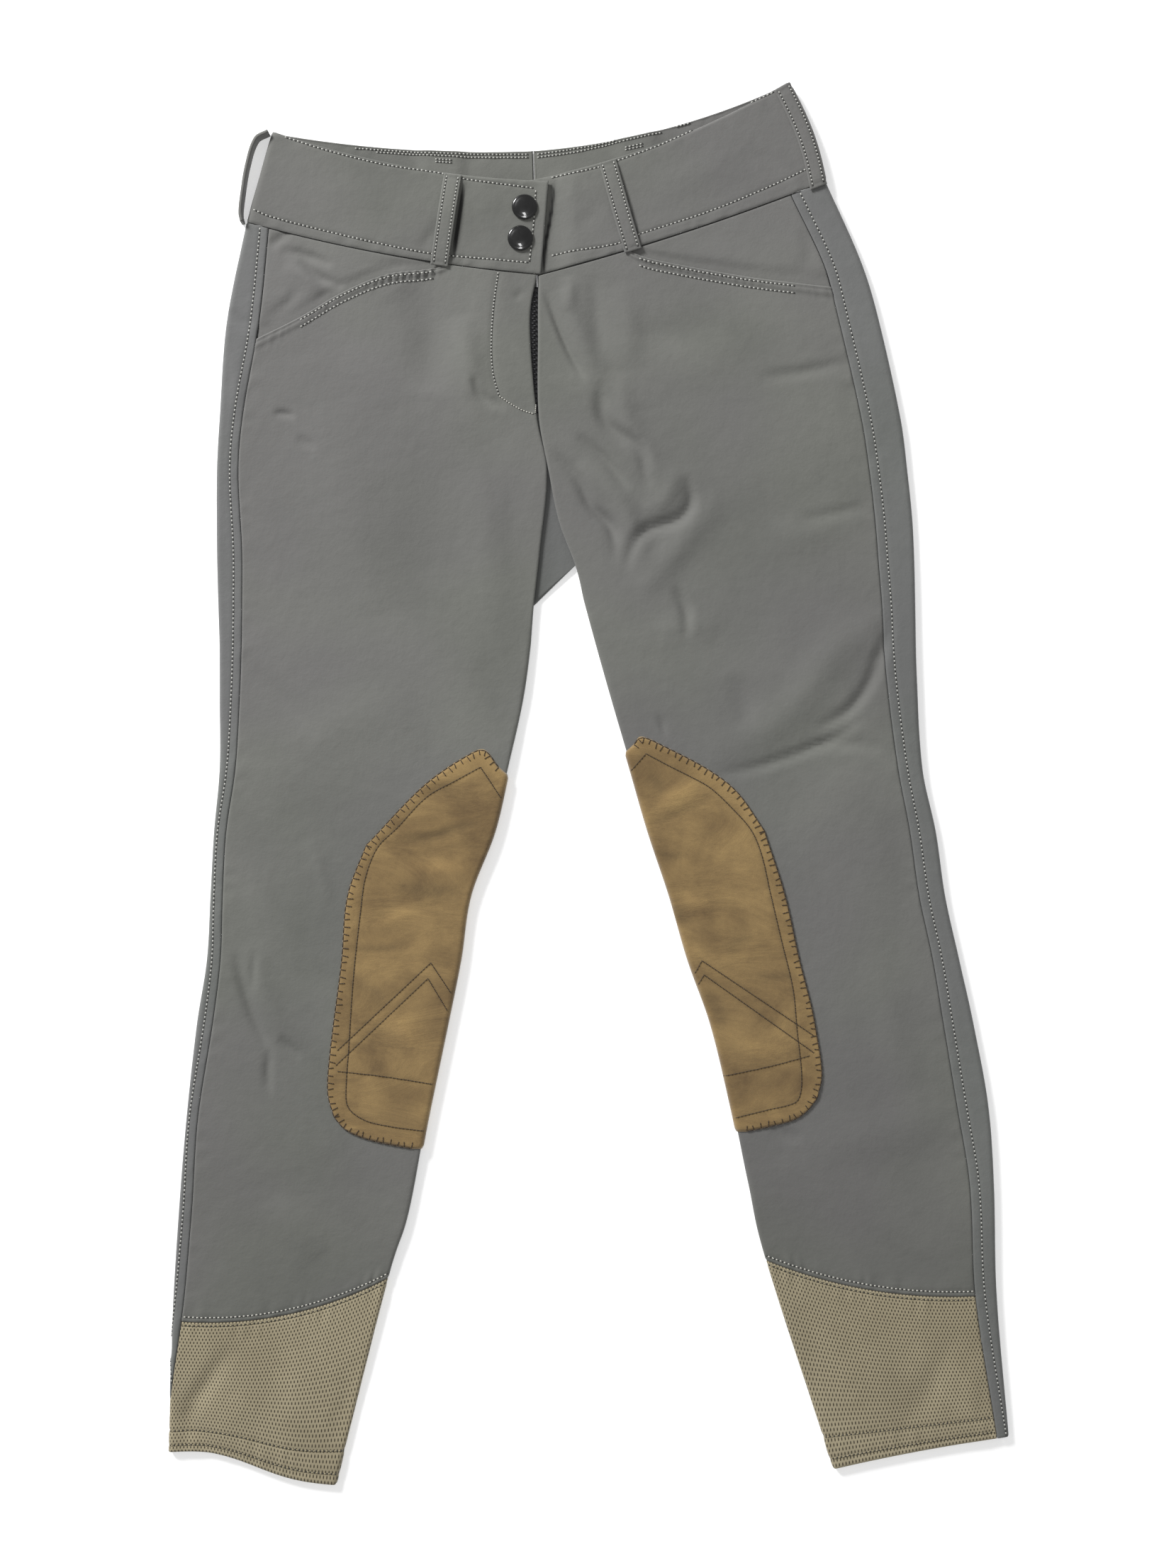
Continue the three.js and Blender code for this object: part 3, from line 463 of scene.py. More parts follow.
LEFT_LEG = Rows(SECTION, [
    [425.5, 167.8, -35.0, 358.6, -36.8, 384.5, 3.5, 6.0, 0, 6.3, 26.5, 0],
    [371.0, 192.2, -35.4, 336.0, -35.8, 350.0, 2.5, 2.5, 0, 6.3, 26.0, 0],
    [333.5, 204.0, -35.4, 318.0, -35.3, 328.5, 1.0, 1.0, 0, 6.3, 28.0, 0],
    [258.5, 220.8, -34.8, 258.5, -32.3, 258.5, 0, 0, 0, 6.2, 28.0, 0],
    [220.0, 225.8, -27.8, 220.0, -30.3, 220.0, 0, 0, 0, 5.8, 27.0, 0],
    [186.0, 229.3, -20.8, 186.0, -21.8, 186.0, 0, 0, 0, 5.2, 26.5, 0],
    [154.5, 230.8, -9.3, 154.5, -9.3, 154.5, 0, 0, 0, 5.2, 25.5, 0.35],
    [131.0, 231.2, -3.6, 131.0, -3.6, 131.0, 0, 0, 0, 5.6, 24.0, 1],
    [78.5, 232.3, 10.8, 78.5, 10.8, 78.5, 0, 0, 0, 6.2, 22.0, 1],
    [11.0, 236.3, 30.3, 11.0, 30.3, 11.0, 0, 0, 0, 6.3, 17.5, 1],
    [-34.0, 245.8, 43.3, -34.0, 43.3, -34.0, 0, 0, 0, 6.3, 18.5, 1],
    [-79.0, 252.3, 58.3, -79.0, 58.3, -79.0, 0, 0, 0, 6.3, 18.5, 1],
    [-124.0, 262.3, 71.3, -124.0, 71.3, -124.0, 0, 0, 0, 6.3, 19.0, 1],
    [-169.0, 272.3, 87.3, -169.0, 87.3, -169.0, 0, 0, 0, 6.3, 21.5, 1],
    [-226.5, 282.8, 101.3, -226.5, 101.3, -226.5, 0, 0, 0, 6.2, 22.5, 1],
    [-281.5, 286.8, 112.8, -281.5, 112.8, -281.5, 1.0, 1.0, 0, 6.0, 17.5, 1],
    [-360.5, 288.8, 125.3, -336.0, 125.3, -336.0, 10.0, 10.0, 0, 5.6, 15.0, 1],
    [-461.0, 297.4, 173.3, -484.0, 173.3, -484.0, -1.5, -1.5, 0, 5.0, 8.5, 1],
], "level")

RIGHT_MOUTH = Rows("x y", [[-232, 315], [-203, 329.5], [-173, 347], [-142, 359.5], [-109, 363.8],
                           [-80, 372]], "x")
LEFT_MOUTH = Rows("x y", [[168, 351], [146, 353.5], [111, 358], [58, 367.5], [36, 373], [10, 386]], "x")

# Folds of the two fronts
RIGHT_CREASES = (
    Crease(((-188, 268), (-168, 196), (-146, 120)), 24, 2.2),
    Crease(((-131, 352), (-112, 322), (-113, 276)), 15, -3.4),
    Crease(((-90, 330), (-84, 300), (-80, 272)), 9, 2.3),
    Crease(((-112, 250), (-104, 200), (-112, 140)), 20, -1.2),
    Crease(((-82, 287), (-78.5, 277), (-71, 270.5), (-59, 266)), 2.7, -2.3, -0.5, 0.5),
    Crease(((-257, 331), (-247, 327.5), (-236, 325)), 2.8, -1.8, 0.4),
    Crease(((-252, 302), (-247, 282), (-251, 258)), 5, 1.1),
    Crease(((-63.3, 361), (-66.8, 335.5), (-68.3, 306), (-66.8, 288.5), (-62.8, 274), (-54.3, 268), (-38.3, 261)),
           1.5, -0.55, 0.0, 0.2),
    Crease(((-52, 341), (-48, 346), (-45, 349)), 3, -0.8),
    Crease(((-75, 240), (-70, 165), (-58, 90)), 14, 1.9),
    Crease(((-245, 92), (-214, 62), (-186, 33)), 8, -1.2, 0.4),
    Crease(((-120, 60), (-165, 46), (-215, 20)), 16, 1.2),
    Crease(((-78, 88), (-60, 60), (-47, 38)), 9, -1.3),
    Crease(((-197, -38), (-189, -60), (-181, -82)), 4.5, 1.1),
    Crease(((-249, -118), (-237, -157), (-222, -190)), 4.0, -2.6, 0.9),
    Crease(((-236, -110), (-228, -150), (-204, -192)), 8, 2.2),
    Crease(((-235, -116), (-236, -132), (-237, -148)), 3.0, -1.1),
    Crease(((-218, -178), (-210, -186), (-202, -192)), 3.2, -1.8),
    Crease(((-224, -188), (-225, -204), (-223, -218)), 3.6, -1.7, 0.5),
    Crease(((-222, -290), (-208, -310), (-190, -335)), 12, 1.5),
    Crease(((-222, 262.5), (-213, 262), (-206, 259.5)), 2.6, -1.5, 0.4),
    Crease(((-206, 243), (-199, 240), (-192, 238)), 2.4, -1.5, -0.4),
    Crease(((-176, 300), (-150, 285), (-140, 262)), 14, 1.0),
)
LEFT_CREASES = (
    Crease(((-31, 347), (-22, 323), (-13.2, 303), (-2.8, 284)), 2.6, -2.5, -0.9),
    Crease(((-18, 350), (-6, 316), (12, 272)), 8, 2.6),
    Crease(((-12, 358), (-13, 345), (-14, 333)), 5, 1.4),
    Crease(((4, 360), (6, 330), (10, 300)), 6, -1.4),
    Crease(((22, 352), (30, 320), (26, 292)), 9, 1.6),
    Crease(((9.8, 284), (12.8, 257.5), (37.3, 237.5), (44, 208)), 5, -3.2, 1.0),
    Crease(((22, 290), (30, 250), (62, 204)), 8, 2.6),
    Crease(((-8, 248), (12.8, 230), (30, 208)), 4, -2.4, 0.8),
    Crease(((-25, 236), (-7.3, 218), (3.8, 196.5), (18.8, 181), (20, 156)), 4.5, -3.0, 0.9),
    Crease(((-8, 226), (22, 200), (42, 150)), 8, 3.0),
    Crease(((3, 193), (12, 186), (19, 172)), 3.5, -1.4),
    Crease(((27, 152), (38.8, 176), (64.8, 186), (74, 198), (71, 217)), 4.2, -3.4, -1.2),
    Crease(((40, 190), (58, 205), (62, 226)), 7, 2.0),
    Crease(((34, 132), (58, 160), (96, 204)), 10, 2.4),
    Crease(((62, 140), (70, 124), (71, 102)), 4.5, -2.2, 0.8),
    Crease(((48, 106), (70, 112), (92, 108)), 9, 1.4),
    Crease(((100, 76), (110, 60), (112, 38)), 9, -1.5),
    Crease(((50, 48), (53, 40), (54, 34)), 2.4, -1.2),
    Crease(((118, 288), (154, 293), (186, 301)), 5.0, -1.2, 0.5),
    Crease(((22, 318), (62, 318), (100, 328)), 11, -1.1),
    Crease(((146, 187), (176, 193), (202, 199)), 4.0, -1.3, 0.6),
    Crease(((120, 170), (150, 176), (196, 190)), 12, 1.4),
    Crease(((88, 5), (120, 11), (152, 22), (178, 34), (196, 48)), 3.4, -2.3, -0.8),
    Crease(((160, 36), (184, 50), (200, 70), (208, 84)), 4.5, -2.6, -1.0),
    Crease(((150, 24), (180, 27), (212, 24)), 5, -1.3, -0.5),
    Crease(((196, 66), (206, 88), (216, 118)), 5, -2.0, -0.6),
    Crease(((82, 18), (140, 48), (178, 96), (224, 122)), 13, 2.4),
    Crease(((128, -242), (138, -247), (152, -249)), 4, -1.2),
    Crease(((150, -258), (206, -248), (262, -230)), 16, 1.4),
    Crease(((206, -120), (214, -168), (226, -215)), 12, 1.4),
    Crease(((216, -20), (222, -60), (232, -100)), 12, -1.2),
)
CUFF_CREASES = {
    Side.RIGHT: (Crease(((-250, -397), (-268, -424), (-281, -446), (-277, -464)), 7, -2.4, 0.4),
                 Crease(((-232, -392), (-240, -430), (-262, -466)), 13, 1.4),
                 Crease(((-166, -402), (-172, -440), (-186, -474)), 8, -1.1),
                 Crease(((-284, -440), (-276, -458), (-262, -478)), 6, -1.2),
                 Crease(((-210, -400), (-208, -440), (-214, -480)), 12, 0.9)),
    Side.LEFT: (Crease(((262, -384), (248, -420), (224, -458)), 10, -1.5, 0.4),
                Crease(((190, -372), (206, -410), (212, -452)), 12, 1.3),
                Crease(((150, -368), (164, -402), (184, -436)), 8, -1.1),
                Crease(((276, -400), (270, -436), (276, -468)), 7, 1.0)),
}
RIGHT_UNDER = (
    Crease(((-210, 300), (-150, 250), (-110, 170)), 9, 1.3),
    Crease(((-90, 330), (-78, 260), (-96, 200)), 8, 1.0),
    Crease(((-240, 120), (-180, 92), (-130, 40)), 10, 1.2),
    Crease(((-70, 190), (-92, 150), (-86, 100)), 7, 1.4),
    Crease(((-230, -60), (-205, -120), (-214, -190)), 8, 1.0),
)
LEFT_UNDER = (
    Crease(((180, 310), (120, 262), (84, 190)), 9, 1.3),
    Crease(((0, 320), (22, 270), (10, 210)), 8, 1.0),
    Crease(((200, 150), (150, 110), (110, 50)), 10, 1.2),
    Crease(((20, 200), (44, 160), (40, 110)), 7, 1.4),
    Crease(((210, -50), (196, -110), (210, -180)), 8, 1.0),
)

# Wrinkles of the knee patches and of the pocket facing, and the puckers of the right band
RIGHT_PATCH_CREASES = (
    Crease(((-136, -72), (-110, -76), (-84, -75)), 6, -0.9, 0.3),
    Crease(((-134, -58), (-108, -60), (-80, -58)), 6, 1.1),
    Crease(((-138, -38), (-112, -36), (-92, -30), (-76, -26)), 4, -0.9, 0.5),
    Crease(((-122, -8), (-104, -4), (-84, -12)), 5, -0.6),
    Crease(((-174, -116), (-150, -117.5), (-124, -115)), 2.2, -0.8),
    Crease(((-152, -102), (-136, -95), (-118, -88)), 4, 0.7),
    Crease(((-150, -160), (-132, -172), (-116, -190)), 8, 0.8),
    Crease(((-166, -140), (-150, -150), (-138, -164)), 5, -0.6),
)
LEFT_PATCH_CREASES = (
    Crease(((44, -27), (62, -20), (80, -12), (88, -5)), 3.6, -0.6, 0.3),
    Crease(((46, -17), (62, -8), (80, 0)), 5, 0.9),
    Crease(((42, 6), (50, 0), (54, -10)), 4, -0.8),
    Crease(((48, -49), (58, -52), (72, -50)), 3, -0.7),
    Crease(((66, -78), (78, -86), (88, -84)), 5, 0.7),
    Crease(((58, -86), (64, -94), (74, -100)), 4, -0.8),
    Crease(((98, -120), (108, -112), (118, -106)), 5, -0.7),
    Crease(((118, -136), (134, -137), (150, -135)), 3.4, -0.7),
    Crease(((84, -146), (92, -160), (98, -174)), 5, -0.9),
    Crease(((108, -182), (124, -190), (142, -186)), 6, 0.7),
)
RIGHT_FACING_CREASES = (
    Crease(((-226, 379), (-217, 385), (-210, 390)), 3.2, -1.7),
    Crease(((-217, 378), (-196, 373), (-180, 366)), 3.4, -2.0, 0.5),
    Crease(((-205, 370), (-191, 357), (-173, 350)), 3.6, -2.3, -0.8),
    Crease(((-214, 366), (-200, 358), (-188, 345)), 5, 1.7),
    Crease(((-229, 330), (-212, 341), (-206, 352)), 4.5, -1.0, 0.4),
    Crease(((-160, 366), (-140, 368), (-122, 366)), 4, -0.6),
)
LEFT_FACING_CREASES = (
    Crease(((60, 376), (100, 372), (140, 360)), 8, 0.7),
    Crease(((146, 360), (156, 372), (152, 392)), 5, -0.7),
)
BAND_PUCKERS = {
    Side.RIGHT: (Crease(((-120, 376), (-110, 388), (-104, 398)), 4, -0.8),
                 Crease(((-196, 410), (-170, 416), (-140, 404)), 14, 0.8),
                 Crease(((-80, 398), (-72, 408), (-70, 420)), 7, 0.5)),
    Side.LEFT: (Crease(((110, 450), (126, 440), (140, 424)), 6, -0.7),
                Crease(((40, 410), (80, 430), (110, 446)), 12, 0.8),
                Crease(((-10, 392), (2, 400), (6, 412)), 6, -0.5)),
}
# Painted shadows in the dark gaps beside the loops and under the overlap: they darken the band's colour and add no
# height
BAND_GAP_SHADOWS = {
    Side.RIGHT: (Crease(((-86.7, 427), (-89.0, 412), (-91.6, 396), (-95.2, 366)), 1.9, 1.2, 0.0, 0.5),),
    Side.LEFT: (Crease(((-26.2, 424), (-24.4, 419), (-26.4, 400), (-30.4, 378.5), (-31.4, 361)), 1.7, 1.2, 0.0, 0.2),
                Crease(((19.9, 436), (27.0, 412), (37.6, 378)), 1.3, 1.1, 0.0, 0.3)),
}

# Rows of stitches, as x and y
BAND_TOP_ROW = {
    Side.RIGHT: ((-214, 456.2), (-183.3, 446.5), (-144.8, 437), (-102.8, 430.5), (-86.3, 426.5), (-38.3, 420)),
    Side.LEFT: ((-26, 428), (3.8, 434), (19.3, 439), (52.8, 451.5), (86.3, 467), (106.3, 476.5), (131.3, 488)),
}
BAND_LOW_ROW = {
    Side.RIGHT: ((-236, 405), (-225.3, 400.5), (-195.3, 392.5), (-153.3, 382.5), (-110.3, 374), (-74, 370.5),
                 (-42, 367.5)),
    Side.LEFT: ((-25.8, 373), (-13.3, 375.5), (20.3, 381), (35.8, 387.5), (84.8, 403.5), (129.8, 422),
                (160, 436.5)),
}
BAND_END_ROW = ((-36.8, 418.5), (-38.3, 396), (-41.3, 368))
BAND_INSIDE_ROWS = (
    (Side.RIGHT, ((-165, 449.5), (-120, 446.5), (-80, 445.2), (-42, 445.2))),
    (Side.RIGHT, ((-150, 446.8), (-110, 444.2), (-80, 443.0), (-42, 443.0))),
    (Side.RIGHT, ((-108, 441.4), (-96, 440.6))),
    (Side.RIGHT, ((-108, 439.6), (-96, 438.8))),
    (Side.LEFT, ((-36, 445.2), (-10, 449.0), (20, 455.8), (52, 463.4), (72, 468.2))),
    (Side.LEFT, ((-36, 443.0), (-10, 446.6), (20, 453.2), (52, 460.6))),
    (Side.LEFT, ((26, 449.6), (39, 452.4))),
    (Side.LEFT, ((26, 447.8), (39, 450.6))),
)
INSET = {Side.RIGHT: 6.0, Side.LEFT: 6.5}
# Painted shade over each half of the band, more on the right half, which faces the key light more
BAND_PAINTED_SHADE = {Side.RIGHT: 0.16, Side.LEFT: 0.04}
PUCKER = {Side.RIGHT: (-152.0, -106.0, 5.2, 1.0), Side.LEFT: (20.0, 120.0, 5.0, 0.35)}

CHUNK = 300
FOLD_DROP = 12.0
PATCH_MIDDLE = 62.0
PATCH_DROP = 32.0
PATCH_CORNER = 9.0
LIFT_NEAR = 4.0
LIFT_FAR = 22.0
FOLD_REACH = 8.0
STRIP_BEHIND = 14.0
LOOP_WIDTH = 12.5
OVERLAP_RISE = 0.5
UNDERLAP_DIP = 2.1


@dataclass
class Outline:
    """One side of a patch as points (reach, y), where reach is the distance from the inner fold."""

    points: Path

    def __post_init__(self) -> None:
        """Measures the length along the outline."""
        place = np.array(self.points, float)
        length = np.concatenate([[0.0], np.cumsum(np.linalg.norm(np.diff(place, axis=0), axis=1))])
        self.total = length[-1]
        self.rows = Rows("length reach y", np.column_stack([length, place]), "length")
        self.first = place[0]
        self.last = place[-1]

    def along(self, part: Array) -> Array:
        """Points part of the way along."""
        return np.stack([self.rows.at(name, part * self.total) for name in ("reach", "y")], -1)


def blended(top: Outline, bottom: Outline, side: Outline, edge: Outline, u: Array, v: Array) -> Array:
    """Fills the space between four outlines that share their corners.

    Args:
        top: Outline at v = 0.
        bottom: Outline at v = 1.
        side: Outline at u = 0.
        edge: Outline at u = 1.
        u: Part across.
        v: Part down.

    Returns:
        Reach and y of each place.
    """
    across = u[:, None]
    down = v[:, None]
    along = mix(top.along(u), bottom.along(u), down)
    beside = mix(side.along(v), edge.along(v), across)
    corners = mix(mix(top.first, top.last, across), mix(bottom.first, bottom.last, across), down)
    return along + beside - corners


@dataclass
class PatchShape:
    """The outline of a knee patch over the front, with its height at the fold."""

    top: Outline
    side: Outline
    bottom: Outline

    @property
    def high(self) -> float:
        """Its highest place on the inner fold."""
        return float(self.top.last[1])

    @property
    def low(self) -> float:
        """Its lowest place on the inner fold."""
        return float(self.bottom.last[1])

    def lift(self, level: Array, reach: Array, width: Array) -> Array:
        """How high the back stands over the part of the patch that is under it."""
        across = 1.0 - smooth(PATCH_MIDDLE + LIFT_NEAR, PATCH_MIDDLE + LIFT_FAR, reach)
        below = smooth(self.low - LIFT_FAR, self.low - LIFT_NEAR, level)
        above = 1.0 - smooth(self.high + LIFT_NEAR, self.high + LIFT_FAR, level)
        return PATCH_LIFT * across * below * above


RIGHT_PATCH = PatchShape(
    Outline([(88, -43), (73, -19.5), (56, 1.5), (35, 18.5), (22, 24.5), (FOLD_REACH, 12)]),
    Outline([(88, -43), (87.5, -75), (84, -130), (79.5, -188), (75, -218), (67, -235)]),
    Outline([(67, -235), (57, -244), (42, -250), (24, -254), (FOLD_REACH, -256.5)]),
)
LEFT_PATCH = PatchShape(
    Outline([(83, -33), (72, -6), (57, 9.5), (30, 26.5), (15, 33.5), (FOLD_REACH, 28)]),
    Outline([(83, -33), (82.5, -75), (79, -128), (73.5, -175), (70, -205), (63, -221.5)]),
    Outline([(63, -221.5), (54, -230.5), (44, -236.5), (27, -241), (FOLD_REACH, -244.5)]),
)


def loop_lift(part: float) -> Callable[[Array, Array, Array], Array]:
    """How the band's back stands over the belt loop sewn at a part of its width."""

    def lift(level: Array, reach: Array, width: Array) -> Array:
        """The lift at each place."""
        off = np.abs(reach - width * (1.0 - part))
        return LOOP_LIFT * (1.0 - smooth(LOOP_WIDTH / 2 + 2, LOOP_WIDTH / 2 + 14, off))

    return lift


@dataclass
class Half:
    """One half of the garment: its tubes and the sizes of what is sewn to them."""

    side: Side
    leg: HalfTube
    band: HalfTube
    mouth: Rows
    patch: PatchShape
    cuff_level: float
    hem_level: float
    underlap: float
    back_loop: float
    sign: float

    @property
    def waist(self) -> float:
        """The level of the waist seam at the outer fold."""
        return float(self.leg.rows.keys[-1]) - SEAM_GAP

    def seam(self, level: Array) -> Array:
        """The run of the outseam."""
        return self.leg.run_at(level, self.leg.section(level)["seam"])

    def mouth_level(self, run: Callable[[Array], Array], count: int) -> Array:
        """The level at which each column of a sheet meets the pocket mouth, or the waist if that is lower.

        Args:
            run: Gives every column's run from its level.
            count: Number of columns.

        Returns:
            A level for each column.
        """
        high = np.full(count, self.waist)
        low = high - 118.0

        def over(level: Array) -> Array:
            """Whether the place is above the mouth."""
            place = self.leg.point(level, run(level), 0.0)
            return place[:, 1] > self.mouth.at("y", place[:, 0])

        reached = over(high)
        for _ in range(22):
            middle = (low + high) / 2
            above = over(middle)
            high = np.where(above, middle, high)
            low = np.where(above, low, middle)
        return np.where(reached, low, self.waist)


def right_half() -> Half:
    """The wearer's right half, which lies on the -X side."""
    leg = HalfTube(RIGHT_LEG, RIGHT_PATCH.lift, lambda x, y: creased(RIGHT_CREASES + CUFF_CREASES[Side.RIGHT], x, y),
                   lambda x, y: creased(RIGHT_UNDER, x, y))
    band = HalfTube(RIGHT_BAND, loop_lift(0.656), lambda x, y: OVERLAP_RISE * smooth(-84, -62, x) + 0.9 * smooth(-37, -28, x))
    return Half(Side.RIGHT, leg, band, RIGHT_MOUTH, RIGHT_PATCH, -379.0, -472.0, 0.0, 0.656, -1.0)


def left_half() -> Half:
    """The wearer's left half, whose band runs on under the other."""
    leg = HalfTube(LEFT_LEG, LEFT_PATCH.lift, lambda x, y: creased(LEFT_CREASES + CUFF_CREASES[Side.LEFT], x, y),
                   lambda x, y: creased(LEFT_UNDER, x, y))
    band = HalfTube(LEFT_BAND, loop_lift(0.612), lambda x, y: -UNDERLAP_DIP * (1.0 - smooth(-25, -8, x)))
    return Half(Side.LEFT, leg, band, LEFT_MOUTH, LEFT_PATCH, -360.5, -461.0, 21.0, 0.612, 1.0)


@dataclass
class Graph:
    """Adds nodes to one node tree, a line each."""

    tree: bpy.types.NodeTree

    def add(self, kind: str, inputs: dict | None = None, **settings: object) -> bpy.types.Node:
        """Adds a node.

        Args:
            kind: The node's type.
            inputs: Sockets or plain values by the input's name or number.
            settings: The node's own properties.

        Returns:
            The node.
        """
        node = self.tree.nodes.new(kind)
        for name, value in settings.items():
            setattr(node, name, value)
        for key, value in (inputs or {}).items():
            if isinstance(value, bpy.types.NodeSocket):
                self.tree.links.new(value, node.inputs[key])
            else:
                node.inputs[key].default_value = value
        return node

    def math(self, operation: str, first: object, second: object = 0.0) -> bpy.types.NodeSocket:
        """One sum on two values, as a socket."""
        return self.add("ShaderNodeMath", {0: first, 1: second}, operation=operation).outputs[0]

    def span(self, value: object, low: float, high: float, to_low: float, to_high: float) -> object:
        """Maps a value from one range to another, as a socket."""
        inputs = {"Value": value, "From Min": low, "From Max": high, "To Min": to_low, "To Max": to_high}
        return self.add("ShaderNodeMapRange", inputs).outputs[0]

    def blend(self, part: object, first: object, second: object, how: str = "MIX") -> bpy.types.NodeSocket:
        """Mixes two colours, as a socket."""
        node = self.add("ShaderNodeMix", {0: part, 6: first, 7: second}, data_type="RGBA", blend_type=how)
        return node.outputs[2]


def new_group(name: str, inputs: Sequence[tuple[str, float]], outputs: Sequence[str]) -> tuple:
    """Starts a shader node group.

    Args:
        name: Its name.
        inputs: Names and first values of its number inputs.
        outputs: Names of its number outputs.

    Returns:
        The group, its graph, its input node and its output node.
    """
    tree = bpy.data.node_groups.new(name, "ShaderNodeTree")
    for label, value in inputs:
        socket = tree.interface.new_socket(name=label, in_out="INPUT", socket_type="NodeSocketFloat")
        socket.default_value = value
    for label in outputs:
        tree.interface.new_socket(name=label, in_out="OUTPUT", socket_type="NodeSocketFloat")
    graph = Graph(tree)
    return tree, graph, graph.add("NodeGroupInput"), graph.add("NodeGroupOutput")


def crumple_group() -> bpy.types.NodeTree:
    """Soft unevenness on Object coordinates: a height, and a mask for the tone.

    Returns:
        The group.
    """
    tree, graph, given, out = new_group("soft crumple", [("Large", 12.0), ("Small", 160.0)], ["Height", "Tone", "Hue"])
    place = graph.add("ShaderNodeTexCoord").outputs["Object"]
    large = graph.add("ShaderNodeTexNoise", {"Vector": place, "Scale": given.outputs["Large"], "Detail": 3.0,
                                             "Roughness": 0.5, "Distortion": 0.6}).outputs["Fac"]
    small = graph.add("ShaderNodeTexNoise", {"Vector": place, "Scale": given.outputs["Small"], "Detail": 4.0,
                                             "Roughness": 0.65}).outputs["Fac"]
    part = graph.math("MULTIPLY", small, 0.22)
    tree.links.new(graph.math("ADD", large, part), out.inputs["Height"])
    tree.links.new(graph.span(graph.math("ADD", large, part), 0.35, 0.85, 0.0, 1.0), out.inputs["Tone"])
    half = graph.math("MULTIPLY", given.outputs["Large"], 0.6)
    moved = graph.add("ShaderNodeMapping", {"Vector": place, "Location": (3.1, 1.7, 0.0)}).outputs[0]
    hue = graph.add("ShaderNodeTexNoise", {"Vector": moved, "Scale": half, "Detail": 2.0}).outputs["Fac"]
    tree.links.new(graph.span(hue, 0.4, 0.6, 0.0, 1.0), out.inputs["Hue"])
    return tree


def weave_group() -> bpy.types.NodeTree:
    """A fine twill on the piece's own UV map, as a height.

    Returns:
        The group.
    """
    tree, graph, given, out = new_group("fine twill", [("Pitch", 1300.0)], ["Height"])
    place = graph.add("ShaderNodeUVMap", uv_map="UVMap").outputs["UV"]
    slant = graph.add("ShaderNodeTexWave", {"Vector": place, "Scale": given.outputs["Pitch"], "Distortion": 0.4,
                                            "Detail": 1.0}, wave_type="BANDS", bands_direction="DIAGONAL")
    tree.links.new(slant.outputs["Fac"], out.inputs["Height"])
    return tree


def painted_shade_group() -> bpy.types.NodeTree:
    """Painted shade kept on the piece's own map: above 1 where it is painted pale, below 1 where it is painted dark,
    near black for a painted shadow.

    Returns:
        The group.
    """
    tree, graph, given, out = new_group("painted_shade", [("Strength", 1.0)], ["Shade"])
    place = graph.add("ShaderNodeUVMap", uv_map="Wear").outputs["UV"]
    dark = graph.add("ShaderNodeSeparateXYZ", {"Vector": place}).outputs["X"]
    shade = graph.math("MULTIPLY", graph.math("SUBTRACT", 0.5, dark), given.outputs["Strength"])
    # From 0.8 up the map paints a near-black shadow, for gaps where shade falls
    painted_deep_shadow = graph.span(dark, 0.8, 1.0, 1.0, 0.1)
    tree.links.new(graph.math("MULTIPLY", graph.math("ADD", shade, 1.0), painted_deep_shadow), out.inputs["Shade"])
    return tree


@dataclass
class Groups:
    """The node groups that the finishes share."""

    crumple: bpy.types.NodeTree = field(default_factory=crumple_group)
    weave: bpy.types.NodeTree = field(default_factory=weave_group)
    painted_shade: bpy.types.NodeTree = field(default_factory=painted_shade_group)


def shaded(graph: Graph, groups: Groups, color: object, strength: float = 1.0) -> bpy.types.NodeSocket:
    """A colour under the piece's own painted shade, as a socket."""
    painted_shade = graph.add("ShaderNodeGroup", {}, node_tree=groups.painted_shade)
    painted_shade.inputs["Strength"].default_value = strength
    shade = painted_shade.outputs["Shade"]
    gray = graph.add("ShaderNodeCombineColor", {0: shade, 1: shade, 2: shade}).outputs[0]
    return graph.blend(1.0, color, gray, "MULTIPLY")


def new_material(name: str) -> tuple[bpy.types.Material, Graph, bpy.types.Node]:
    """Starts a material.

    Args:
        name: Its name.

    Returns:
        The material, its graph and its shader node.
    """
    material = bpy.data.materials.new(name)
    material.use_nodes = True
    graph = Graph(material.node_tree)
    return material, graph, material.node_tree.nodes["Principled BSDF"]


@dataclass(frozen=True)
class ClothFinish:
    """Stretch woven cloth with a faint sheen."""

    name: str
    dark: Color
    light: Color
    cool: Color
    roughness: float = 0.82
    sheen: float = 0.25

    def build(self, groups: Groups) -> bpy.types.Material:
        """Makes the material."""
        material, graph, shader = new_material(self.name)
        crumple = graph.add("ShaderNodeGroup", {}, node_tree=groups.crumple)
        crumple.inputs["Large"].default_value = 9.0
        crumple.inputs["Small"].default_value = 120.0
        weave = graph.add("ShaderNodeGroup", {}, node_tree=groups.weave)
        tone = graph.blend(crumple.outputs["Tone"], self.dark, self.light)
        tone = graph.blend(graph.math("MULTIPLY", crumple.outputs["Hue"], 0.7), tone, self.cool)
        grain = graph.span(weave.outputs["Height"], 0.0, 1.0, 0.93, 1.05)
        gray = graph.add("ShaderNodeCombineColor", {0: grain, 1: grain, 2: grain}).outputs[0]
        links = material.node_tree.links
        woven = graph.blend(1.0, tone, gray, "MULTIPLY")
        links.new(shaded(graph, groups, woven), shader.inputs["Base Color"])
        soft = graph.add("ShaderNodeBump", {"Height": crumple.outputs["Height"], "Strength": 0.5,
                                            "Distance": 0.0045})
        fine = graph.add("ShaderNodeBump", {"Height": weave.outputs["Height"], "Strength": 0.25,
                                            "Distance": 0.00012, "Normal": soft.outputs[0]})
        links.new(fine.outputs[0], shader.inputs["Normal"])
        shader.inputs["Roughness"].default_value = self.roughness
        shader.inputs["Sheen Weight"].default_value = self.sheen
        shader.inputs["Sheen Roughness"].default_value = 0.5
        shader.inputs["Specular IOR Level"].default_value = 0.3
        return material


